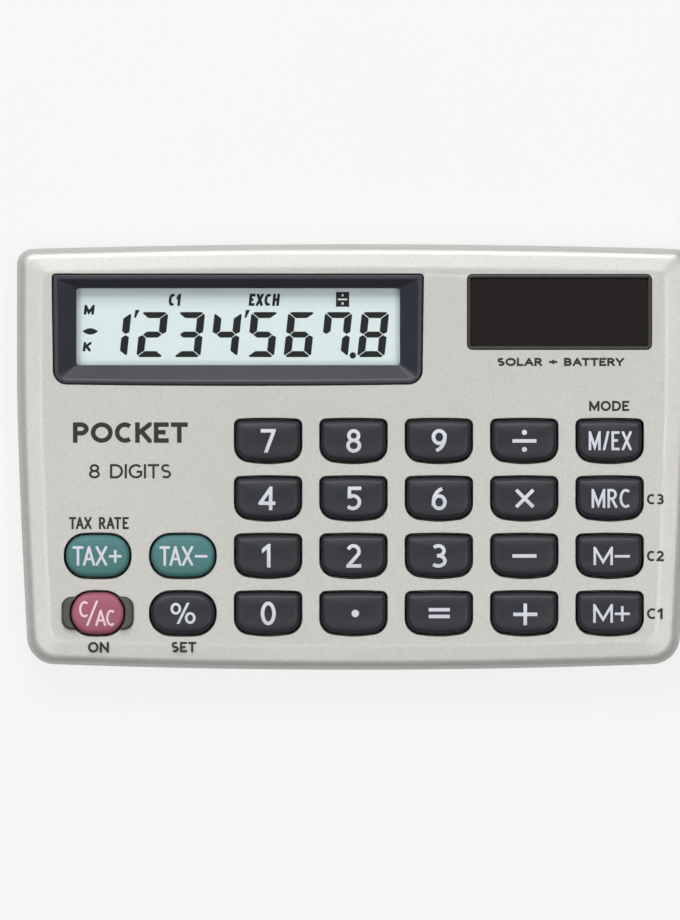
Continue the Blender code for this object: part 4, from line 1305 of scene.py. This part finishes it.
DIGIT_BOX: Box = (-1.13, -1.83, 1.2, 1.85)
TEAL = (PALETTE.teal_key, "teal_key_plastic")
ROSE = (PALETTE.rose_key, "rose_key_plastic")
KEYS: tuple[KeySpec, ...] = (
    KeySpec("key_7", 2, 0, "7", DIGIT_BOX),
    KeySpec("key_8", 3, 0, "8", DIGIT_BOX),
    KeySpec("key_9", 4, 0, "9", DIGIT_BOX),
    KeySpec("key_divide", 5, 0, "divide", (-1.87, -1.72, 1.87, 1.72)),
    KeySpec("key_memory_exchange", 6, 0, "M/EX", (-3.3, -1.45, 3.4, 1.5)),
    KeySpec("key_4", 2, 1, "4", (-1.5, -1.83, 1.15, 1.85)),
    KeySpec("key_5", 3, 1, "5", DIGIT_BOX),
    KeySpec("key_6", 4, 1, "6", DIGIT_BOX),
    KeySpec("key_multiply", 5, 1, "multiply", (-1.5, -1.5, 1.6, 1.5)),
    KeySpec("key_memory_recall", 6, 1, "MRC", (-2.85, -1.48, 3.25, 1.48)),
    KeySpec("key_1", 2, 2, "1", (-0.95, -1.8, 0.38, 1.88)),
    KeySpec("key_2", 3, 2, "2", DIGIT_BOX),
    KeySpec("key_3", 4, 2, "3", DIGIT_BOX),
    KeySpec("key_minus", 5, 2, "minus", (-1.87, -0.27, 1.87, 0.27)),
    KeySpec("key_memory_minus", 6, 2, "M-", (-2.55, -1.42, 3.1, 1.42), sign_width=2.35),
    KeySpec("key_0", 2, 3, "0", DIGIT_BOX),
    KeySpec("key_point", 3, 3, "point", (-0.3, -0.58, 0.86, 0.58)),
    KeySpec("key_equals", 4, 3, "equals", (-1.6, -0.74, 1.68, 0.86)),
    KeySpec("key_plus", 5, 3, "plus", (-1.75, -1.83, 2.0, 1.55)),
    KeySpec("key_memory_plus", 6, 3, "M+", (-2.6, -1.45, 3.1, 1.45), sign_width=2.35),
    KeySpec("key_tax_plus", 0, 2, "TAX+", (-3.85, -1.52, 3.75, 1.52), KeyStyle.PILL, *TEAL),
    KeySpec("key_tax_minus", 1, 2, "TAX-", (-3.6, -1.52, 3.85, 1.52), KeyStyle.PILL, *TEAL),
    KeySpec("key_percent", 1, 3, "%", (-1.9, -1.62, 2.0, 1.66), KeyStyle.PILL),
    KeySpec("key_clear", 0, 3, "C/AC", (-2.85, -1.95, 2.75, 2.0), KeyStyle.POWER, *ROSE),
)


def power_key() -> KeySpec:
    """The key that also switches the calculator on, between the guard's ridges."""
    return next(key for key in KEYS if key.style is KeyStyle.POWER)


def bar(centre: Point, half: Point, turn: float = 0.0) -> Outline:
    """A plain stroke.

    Args:
        centre: Its middle.
        half: Half its length and thickness.
        turn: Rotation in degrees.

    Returns:
        Its four corners.
    """
    cos, sin = math.cos(math.radians(turn)), math.sin(math.radians(turn))
    corners = ((-half[0], -half[1]), (half[0], -half[1]), (half[0], half[1]), (-half[0], half[1]))
    return [(centre[0] + x * cos - y * sin, centre[1] + x * sin + y * cos) for x, y in corners]


@dataclass
class Keycap:
    """One keycap: drafted sides, a soft edge and a crowned top, with its legend."""

    spec: KeySpec
    layout: Layout
    clearance: float = 0.3 * MM
    draft: float = 0.12 * MM
    round_steps: int = 6
    round_width: float = 0.58 * MM
    round_depth: float = 0.62 * MM
    skirt_rise: float = 0.9 * MM
    crown_z: float = 8.74 * MM
    crown_fall: Point = (0.2 * MM, 0.8 * MM)
    # Rings of the top, each as a share of its rim.
    crown_rings: tuple[float, ...] = (0.94, 0.86, 0.74, 0.58, 0.4, 0.2, 0.06)
    smooth_angle: float = 60.0
    digit_stroke: float = 0.55 * MM
    letter_stroke: float = 0.4 * MM
    small_stroke: float = 0.34 * MM
    sign_gap: float = 0.28 * MM
    sign_drop: float = 0.05 * MM
    dot: float = 0.4 * MM
    # Letters of the clear key's sign, each with its left, bottom, right and top as shares of the sign.
    clear_sign: tuple[tuple[str, Box], ...] = (
        ("C", (0.0, 0.34, 0.27, 0.98)),
        ("/", (0.2, 0.0, 0.52, 1.0)),
        ("A", (0.45, 0.0, 0.75, 0.64)),
        ("C", (0.75, 0.0, 1.0, 0.64)),
    )

    def crown(self, x: float, y: float) -> float:
        """Height of the key's top.

        Args:
            x: Place across the face.
            y: Place up the face.

        Returns:
            The height there.
        """
        centre = self.spec.centre(self.layout)
        half = self.layout.key(self.spec.style, centre).half
        across = (x - centre[0]) / half[0]
        along = (y - centre[1]) / half[1]
        return self.crown_z - self.crown_fall[0] * across**2 - self.crown_fall[1] * along**2

    def build(self) -> None:
        """Makes the cap and its legend."""
        outline = self.layout.key(self.spec.style, self.spec.centre(self.layout))
        centre = outline.centre
        rim = outline.at(self.clearance + self.draft + self.round_width)
        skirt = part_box(self.spec.node)[0][2] + self.skirt_rise
        levels: list[Level] = [(outline.at(self.clearance), skirt)]
        for inset, drop in rolled(self.round_width, self.round_depth, self.round_steps):
            ring = outline.at(self.clearance + self.draft + inset)
            levels.append((ring, [self.crown(x, y) - drop for x, y in ring]))
        for share in self.crown_rings:
            ring = [tuple(mid + (at - mid) * share for at, mid in zip(point, centre)) for point in rim]
            levels.append((ring, [self.crown(x, y) for x, y in ring]))
        cap = lofted(f"cap_{self.spec.node[4:]}", levels)
        smooth_by_angle(cap, self.smooth_angle)
        dress(cap, self.spec.finish, self.spec.node, self.spec.slot, self.spec.node)
        self.legend()

    def legend(self) -> None:
        """Prints the key's sign on its crown."""
        ink = PALETTE.rose_ink if self.spec.style is KeyStyle.POWER else PALETTE.key_ink
        sign = Print(f"legend_{self.spec.node[4:]}", ink, self.spec.node, self.spec.slot)
        x, y = self.spec.centre(self.layout)
        left, bottom, right, top = (value * MM for value in self.spec.box)
        box = (x + left, y + bottom, x + right, y + top)
        text = self.spec.legend
        if text.islower():
            sign.pieces += self.operator(text, box)
        elif self.spec.style is KeyStyle.POWER:
            wide, high = right - left, top - bottom
            for letter, (start, low, end, up) in self.clear_sign:
                cell = (box[0] + start * wide, box[1] + low * high, box[0] + end * wide, box[1] + up * high)
                sign.add_word(letter, cell, self.small_stroke)
        elif text[-1] in "+-":
            reach, half = self.spec.sign_width * MM / 2, self.letter_stroke / 2
            word_end = box[2] - 2 * reach - self.sign_gap
            sign.add_word(text[:-1], (box[0], box[1], word_end, box[3]), self.letter_stroke)
            middle = (box[2] - reach, (box[1] + box[3]) / 2 - self.sign_drop)
            sign.pieces.append(bar(middle, (reach, half)))
            if text[-1] == "+":
                sign.pieces.append(bar(middle, (half, reach)))
        else:
            sign.add_word(text, box, self.digit_stroke if text.isdigit() else self.letter_stroke)
        sign.lay(self.crown)

    def operator(self, text: str, box: Box) -> list[Outline]:
        """Strokes of an arithmetic sign.

        Args:
            text: Name of the sign.
            box: Its extent.

        Returns:
            One outline for each stroke.
        """
        middle = ((box[0] + box[2]) / 2, (box[1] + box[3]) / 2)
        reach, rise = (box[2] - box[0]) / 2, (box[3] - box[1]) / 2
        half = self.digit_stroke / 2
        level = bar(middle, (reach, half))
        if text == "minus":
            return [level]
        if text == "plus":
            return [level, bar(middle, (half, rise))]
        if text == "equals":
            return [bar((middle[0], height), (reach, half)) for height in (box[3] - half, box[1] + half)]
        if text == "divide":
            up = rise - self.dot
            return [level] + [disc((middle[0], middle[1] + shift), self.dot) for shift in (up, -up)]
        if text == "point":
            return [disc(middle, reach)]
        return [bar(middle, (math.hypot(reach, rise) - half, half), turn) for turn in (45, -45)]


def reach_at(points: Outline, y: float) -> float:
    """Half the width of an outline at one height, from its right-hand side.

    Args:
        points: Outline about the origin.
        y: Height.

    Returns:
        The distance from the middle.
    """
    for (x0, y0), (x1, y1) in zip(points, points[1:]):
        if x0 > 0 and y0 <= y <= y1 and y1 > y0:
            return x0 + (x1 - x0) * (y - y0) / (y1 - y0)
    return 0.0


@dataclass
class Guard:
    """Two curved ridges that keep the clear key from being pressed by accident."""

    layout: Layout
    clearance: float = 0.12 * MM
    key_inset: float = 0.18 * MM
    inner_share: float = 0.2
    top: float = 8.6 * MM
    round_width: float = 0.36 * MM
    round_depth: float = 0.55 * MM
    steps: int = 24
    round_steps: int = 6
    smooth_angle: float = 50.0

    def ridge(self, side: int, inset: float) -> Outline:
        """Outline of one ridge.

        Args:
            side: -1 on the left, 1 on the right.
            inset: How far it is drawn in.

        Returns:
            The outline.
        """
        key = self.layout.key(KeyStyle.POWER, (0.0, 0.0)).at(self.key_inset - inset * self.inner_share)
        reach = self.layout.guard_half[1] - self.clearance - inset
        outer_x = self.layout.guard_half[0] - self.clearance - inset
        corner = self.layout.guard_corner - inset
        outer, inner = [], []
        for i in range(self.steps + 1):
            y = -reach * math.cos(math.pi * i / self.steps)
            beyond = max(0.0, abs(y) - (reach - corner))
            outer.append((outer_x - corner + math.sqrt(max(corner**2 - beyond**2, 0.0)), y))
            inner.append((reach_at(key, y), y))
        return [(side * x, y) for x, y in outer + inner[::-1]]

    def build(self) -> None:
        """Makes both ridges, which stand for the whole guard: its base is hidden under the face."""
        middle_x, middle_y = power_key().centre(self.layout)
        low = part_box("power_key_guard")[0][2]
        rounding = rolled(self.round_width, self.round_depth, self.round_steps)
        for name, side, replaced in (("guard_left", -1, ("power_key_guard",)), ("guard_right", 1, ())):
            levels: list[Level] = []
            for inset, z in [(0.0, low)] + [(inset, self.top - drop) for inset, drop in rounding]:
                ring = [(middle_x + x, middle_y + y) for x, y in self.ridge(side, inset)]
                levels.append((ring, z))
            ridge = lofted(name, levels)
            smooth_by_angle(ridge, self.smooth_angle)
            dress(ridge, PALETTE.guard, BODY, "guard_plastic", *replaced)


# ----------------------------------------------------------------------------------------------------
# Display and solar window


@dataclass
class DisplayUnit:
    """Sloping bezel, crystal cell with its segments, and the clear cover."""

    layout: Layout
    # Segments of each figure that are on: a at the top, then round by the right to f, and g in the middle.
    figures: tuple[str, ...] = ("bc", "abdeg", "abcdg", "bcfg", "acdfg", "acdefg", "abcf", "abcdefg")
    fit: float = 0.15 * MM
    roll: float = 0.3 * MM
    roll_steps: int = 4
    turn_in: float = 1.0 * MM
    turn_end: float = 36.0
    lip: float = 0.08 * MM
    lip_rise: float = 0.05 * MM
    lip_z: float = 6.1 * MM
    smooth_angle: float = 25.0
    digit_centre: Point = (3.08 * MM, 19.12 * MM)
    digit_half: Point = (2.14 * MM, 3.52 * MM)
    longest: float = 9 * MM
    point_centre: Point = (-0.1 * MM, 15.87 * MM)
    point_radius: float = 0.5 * MM
    tick_centres: tuple[Point, ...] = ((-33.95 * MM, 22.35 * MM), (-16.7 * MM, 22.35 * MM))
    # Corners of a thousands tick, in millimetres from its middle.
    tick: tuple[Point, ...] = ((-0.25, -0.6), (0.02, -0.62), (0.48, 0.62), (-0.18, 0.62))
    pitch: float = 5.75 * MM
    upright: float = 1.18 * MM
    level: float = 0.94 * MM
    slit: float = 0.08 * MM
    corner: float = 0.42 * MM
    slant: float = 0.107
    # Small signs round the figures, each with its left, bottom, right and top in millimetres.
    signs: tuple[tuple[str, Box], ...] = (
        ("M", (-42.15, 22.25, -40.55, 23.75)),
        ("K", (-42.3, 16.5, -41.05, 17.95)),
        ("C1", (-28.95, 23.6, -27.1, 25.5)),
        ("EXCH", (-16.4, 23.6, -11.65, 25.5)),
    )
    sign_stroke: float = 0.43 * MM
    lens_centre: Point = (-41.1 * MM, 19.62 * MM)
    lens_half: Point = (1.22 * MM, 0.5 * MM)
    lens_steps: int = 24
    block_centre: Point = (-1.7 * MM, 24.62 * MM)
    # Middle and half size, in millimetres, of the bars that leave a divide sign clear in a dark block.
    block: tuple[tuple[Point, Point], ...] = (
        ((-0.88, 0.57), (0.15, 0.6)),
        ((0.88, 0.57), (0.15, 0.6)),
        ((0.0, 0.3), (0.75, 0.17)),
        ((-0.47, 0.65), (0.3, 0.22)),
        ((0.47, 0.65), (0.3, 0.22)),
        ((0.0, 0.98), (0.75, 0.17)),
    )

    def build(self) -> None:
        """Makes the unit."""
        self.build_bezel()
        for node, finish in (("display_cover", PALETTE.clear), ("display_panel", PALETTE.crystal)):
            redress(node, finish)
        self.build_segments()

    def build_bezel(self) -> None:
        """Makes the bezel: a rolled edge at the face, then four slopes down to the window."""
        outer = self.layout.bezel
        window = self.layout.window.at(0.0)
        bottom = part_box("display_bezel")[0][2]
        levels: list[Level] = [(window, bottom), (outer.at(self.fit), bottom)]
        for inset, drop in rolled(self.roll, self.roll, self.roll_steps):
            levels.append((outer.at(self.fit + inset), FACE_Z - drop))
        for i in range(1, self.roll_steps + 1):
            turn = math.radians(self.turn_end * i / self.roll_steps)
            inset = self.fit + self.roll + self.turn_in * math.sin(turn)
            levels.append((outer.at(inset), FACE_Z - self.turn_in * (1 - math.cos(turn))))
        levels += [(self.layout.window.at(-self.lip), self.lip_z + self.lip_rise), (window, self.lip_z)]
        bezel = lofted("bezel_slopes", levels, closed=True)
        smooth_by_angle(bezel, self.smooth_angle)
        dress(bezel, PALETTE.slate, BODY, "slate_plastic", "display_bezel")

    def slanted(self, centre: Point, points: Sequence[Point]) -> Outline:
        """Leans points about the middle of their figure."""
        return [(centre[0] + x + y * self.slant, centre[1] + y) for x, y in points]

    def segments(self, lit: str, centre: Point) -> list[Outline]:
        """Outlines of the segments that are on.

        Args:
            lit: Letters a to g.
            centre: Middle of the digit.

        Returns:
            One outline for each segment.
        """
        x, y = self.digit_half
        w, t, s, c = self.upright, self.level, self.slit, self.corner
        upper = [
            (-x, y - c),
            (-x + c / 2, y - c / 2 - s),
            (-x + w, y - t - s),
            (-x + w, t / 2 + s),
            (-x + w / 2, s),
            (-x, t / 3 + s),
        ]
        top = [(-x + c + s, y), (-x + c / 2 + s, y - c / 2), (-x + w + s, y - t)]
        shapes = {
            "a": top + [(-px, py) for px, py in reversed(top)],
            "d": [(px, -py) for px, py in top] + [(-px, -py) for px, py in reversed(top)],
            "g": [
                (-x + w / 2 + s, 0.0),
                (-x + w + s, t / 2),
                (x - w - s, t / 2),
                (x - w / 2 - s, 0.0),
                (x - w - s, -t / 2),
                (-x + w + s, -t / 2),
            ],
            "f": upper,
            "e": [(px, -py) for px, py in upper],
            "b": [(-px, py) for px, py in upper],
            "c": [(-px, -py) for px, py in upper],
        }
        return [self.slanted(centre, shapes[letter]) for letter in lit]

    def build_segments(self) -> None:
        """Prints the figures and the small signs of the display."""
        show = Print("display_segments", PALETTE.segment, BODY, "display_glass", longest=self.longest)
        last = len(self.figures) - 1
        for place, letters in enumerate(self.figures):
            centre = (self.digit_centre[0] - self.pitch * (last - place), self.digit_centre[1])
            show.pieces += self.segments(letters, centre)
        show.pieces.append(disc(self.point_centre, self.point_radius))
        for centre in self.tick_centres:
            show.pieces.append(self.slanted(centre, [(x * MM, y * MM) for x, y in self.tick]))
        self.add_signs(show)
        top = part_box("display_panel")[1][2]
        show.lay(lambda x, y: top)

    def add_signs(self, show: Print) -> None:
        """Adds the indicator signs round the figures.

        Args:
            show: The print.
        """
        for text, box in self.signs:
            left, bottom, right, top = (value * MM for value in box)
            show.add_word(text, (left, bottom, right, top), self.sign_stroke, self.slant)
        x, y = self.lens_centre
        reach, rise = self.lens_half
        turns = [2 * math.pi * i / self.lens_steps for i in range(self.lens_steps)]
        lens = [(reach * math.cos(turn), rise * math.sin(turn) * abs(math.sin(turn))) for turn in turns]
        show.pieces.append([(x + across, y + up) for across, up in lens])
        x, y = self.block_centre
        for (across, up), (wide, high) in self.block:
            for shift in (up, -up):
                place = (x + across * MM, y + shift * MM)
                show.pieces.append(bar(place, (wide * MM, high * MM)))


@dataclass
class SolarUnit:
    """Rim, smoked window and the striped cell behind it."""

    layout: Layout
    fit: float = 0.12 * MM
    rim_width: float = 0.62 * MM
    roll: float = 0.24 * MM
    roll_steps: int = 4
    lip: float = 0.05 * MM
    lip_z: float = 7.2 * MM
    smooth_angle: float = 30.0

    def build(self) -> None:
        """Makes the unit."""
        outer = self.layout.solar
        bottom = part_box("solar_rim")[0][2]
        inner = outer.at(self.rim_width)
        levels: list[Level] = [(inner, bottom), (outer.at(self.fit), bottom)]
        for inset, drop in rolled(self.roll, self.roll, self.roll_steps):
            levels.append((outer.at(self.fit + inset), FACE_Z - drop))
        levels += [(outer.at(self.rim_width - self.lip), self.lip_z + self.lip), (inner, self.lip_z)]
        rim = lofted("solar_surround", levels, closed=True)
        smooth_by_angle(rim, self.smooth_angle)
        dress(rim, PALETTE.rim, BODY, "rim_plastic", "solar_rim")
        redress("solar_window", PALETTE.smoked)
        redress("solar_cell", PALETTE.silicon)


# ----------------------------------------------------------------------------------------------------
# Labels, inner parts and studio


@dataclass
class FaceLabels:
    """Generic words printed on the face."""

    # Each word with its left, bottom, right and top, and its stroke, in millimetres.
    words: tuple[tuple[str, Box, float], ...] = (
        ("POCKET", (-43.7, 2.2, -25.8, 5.4), 0.72),
        ("8 DIGITS", (-41.2, -3.35, -28.4, -1.1), 0.36),
        ("TAX RATE", (-44.3, -11.25, -35.0, -9.35), 0.35),
        ("MODE", (36.7, 7.15, 42.95, 8.75), 0.35),
        ("C3", (45.7, -7.4, 48.35, -5.75), 0.35),
        ("C2", (45.7, -16.25, 48.35, -14.6), 0.35),
        ("C1", (45.7, -25.25, 48.15, -23.55), 0.35),
        ("ON", (-41.35, -30.5, -38.1, -28.8), 0.35),
        ("SET", (-28.35, -30.45, -24.5, -28.8), 0.35),
        ("SOLAR + BATTERY", (22.4, 14.15, 42.15, 15.45), 0.34),
    )
    longest: float = 20 * MM

    def build(self) -> None:
        """Prints every word."""
        for text, box, stroke in self.words:
            name = "label_" + "".join(letter for letter in text.lower() if letter.isalnum())
            label = Print(name, PALETTE.case_ink, BODY, "silver_shell", longest=self.longest)
            left, bottom, right, top = (value * MM for value in box)
            label.add_word(text, (left, bottom, right, top), stroke * MM)
            label.lay(lambda x, y: FACE_Z)


def redress(node: str, finish: Finish) -> None:
    """Gives a CAD node its finish, in place.

    Args:
        node: The node.
        finish: Its finish.
    """
    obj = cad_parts[node]
    obj.data.materials.clear()
    obj.data.materials.append(finish.material())
    LOG.info("%s keeps its CAD shape, finish %s", node, finish.name)


@dataclass
class InnerParts:
    """Parts inside the case, which keep their CAD shapes, with their finishes."""

    finishes: tuple[tuple[str, Finish], ...] = (
        ("circuit_board", PALETTE.board),
        ("chip_blob", PALETTE.resin),
        ("bias_resistor", PALETTE.resin),
        ("smoothing_capacitor", PALETTE.ceramic),
        ("key_mat", PALETTE.silicone),
        ("display_connector", PALETTE.zebra),
        ("solar_lead_positive", PALETTE.vinyl),
        ("solar_lead_negative", PALETTE.vinyl),
        ("button_cell", PALETTE.steel),
        ("battery_contact_positive", PALETTE.spring),
        ("battery_contact_negative", PALETTE.spring),
    )

    def build(self) -> None:
        """Dresses each part and the screws."""
        for node, finish in self.finishes:
            redress(node, finish)
        for number in range(1, 5):
            redress(f"case_screw_{number}", PALETTE.zinc)
            redress(f"board_screw_{number}", PALETTE.zinc)


@dataclass(frozen=True)
class SoftLight:
    """A panel light: its lean from the vertical, the side it hangs on, its power in watts and its size."""

    name: str
    lean: float
    azimuth: float
    power: float
    size: Point = (0.7, 0.5)
    distance: float = 1.0


@dataclass
class Studio:
    """Pale floor, soft light and the camera that looks straight down at the face."""

    aim: Point = (-2.1 * MM, -0.47 * MM)
    view_height: float = 143.3 * MM
    distance: float = 1.1
    sensor_mm: float = 36.0
    clip_start: float = 0.01
    floor_radius: float = 1.4
    floor_z: float = -0.05 * MM
    floor_steps: int = 72
    cove_radius: float = 0.4
    cove_height: float = 2.4
    cove_steps: int = 8
    smooth_angle: float = 60.0
    floor_glow: float = 0.815
    world_colour: str = "E6E6E4"
    world_strength: float = 0.09
    lights: tuple[SoftLight, ...] = (
        SoftLight("rear_low", 46.0, 100.0, 7.9, (1.0, 0.45)),
        SoftLight("left_high", 24.0, 190.0, 1.7, (0.6, 0.3)),
        SoftLight("right_high", 24.0, -10.0, 2.15, (0.6, 0.3)),
        SoftLight("front_high", 24.0, -90.0, 1.5, (0.8, 0.3)),
    )

    def build(self) -> None:
        """Sets the floor, lights, world and camera."""
        self.build_floor()
        for light in self.lights:
            self.build_light(light)
        world = bpy.data.worlds.new("studio_world")
        world.use_nodes = True
        background = world.node_tree.nodes["Background"]
        background.inputs["Color"].default_value = linear(self.world_colour)
        background.inputs["Strength"].default_value = self.world_strength
        bpy.context.scene.world = world
        bpy.context.scene.view_settings.view_transform = "Standard"
        self.build_camera()

    def build_floor(self) -> None:
        """Makes the floor, an opal sheet lit from behind as on a copy stand, and the cove round it."""
        opal = Finish("opal_floor_sheet", "5A5A5A", "565656", roughness=0.9, patch_mm=60.0)
        material = opal.material()
        shader = material.node_tree.nodes["Principled BSDF"]
        shader.inputs["Emission Color"].default_value = linear("FFFFFF")
        shader.inputs["Emission Strength"].default_value = self.floor_glow
        sheet = arc((0.0, 0.0), self.floor_radius, 0, 360, self.floor_steps)[:-1]
        shape = bmesh.new()
        shape.faces.new([shape.verts.new((x, y, self.floor_z)) for x, y in sheet])
        floor = linked("studio_floor", shape)
        wall: list[Level] = []
        for i in range(self.cove_steps + 1):
            turn = math.pi / 2 * i / self.cove_steps
            reach = 1 + self.cove_radius / self.floor_radius * math.sin(turn)
            height = self.floor_z + self.cove_radius * (1 - math.cos(turn))
            wall.append(([(x * reach, y * reach) for x, y in sheet], height))
        wall.append((wall[-1][0], self.cove_height))
        cove = lofted("studio_cove", wall, filled=False)
        cove.visible_glossy = False
        cove.visible_shadow = False
        for piece in (floor, cove):
            piece.data.materials.append(material)
            piece.visible_diffuse = False
        smooth_by_angle(cove, self.smooth_angle)

    def build_light(self, light: SoftLight) -> None:
        """Hangs a soft panel light, aimed at the calculator.

        Args:
            light: Its place, size and power.
        """
        data = bpy.data.lights.new(light.name, "AREA")
        data.shape = "RECTANGLE"
        data.size, data.size_y = light.size
        data.energy = light.power
        lean, around = math.radians(light.lean), math.radians(light.azimuth)
        out = math.sin(lean)
        place = Vector((out * math.cos(around), out * math.sin(around), math.cos(lean)))
        lamp = bpy.data.objects.new(light.name, data)
        lamp.location = place * light.distance
        lamp.rotation_euler = (-place).to_track_quat("-Z", "Y").to_euler()
        bpy.context.scene.collection.objects.link(lamp)

    def build_camera(self) -> None:
        """Sets a long lens straight above the face, with the display towards the top of the view."""
        data = bpy.data.cameras.new("camera")
        data.sensor_width = self.sensor_mm
        data.lens = self.sensor_mm * (self.distance - FACE_Z) / self.view_height
        data.clip_start = self.clip_start
        camera = bpy.data.objects.new("camera", data)
        camera.location = (self.aim[0], self.aim[1], self.distance)
        bpy.context.scene.collection.objects.link(camera)
        bpy.context.scene.camera = camera


def main() -> None:
    """Builds the calculator's looks, piece by piece."""
    logging.basicConfig(level=logging.INFO, format="%(message)s")
    layout = Layout()
    FrontCase(layout, KEYS).build()
    RearCase(layout).build()
    DisplayUnit(layout).build()
    SolarUnit(layout).build()
    for spec in KEYS:
        Keycap(spec, layout).build()
    Guard(layout).build()
    FaceLabels().build()
    InnerParts().build()
    Studio().build()


if __name__ == "__main__":
    main()
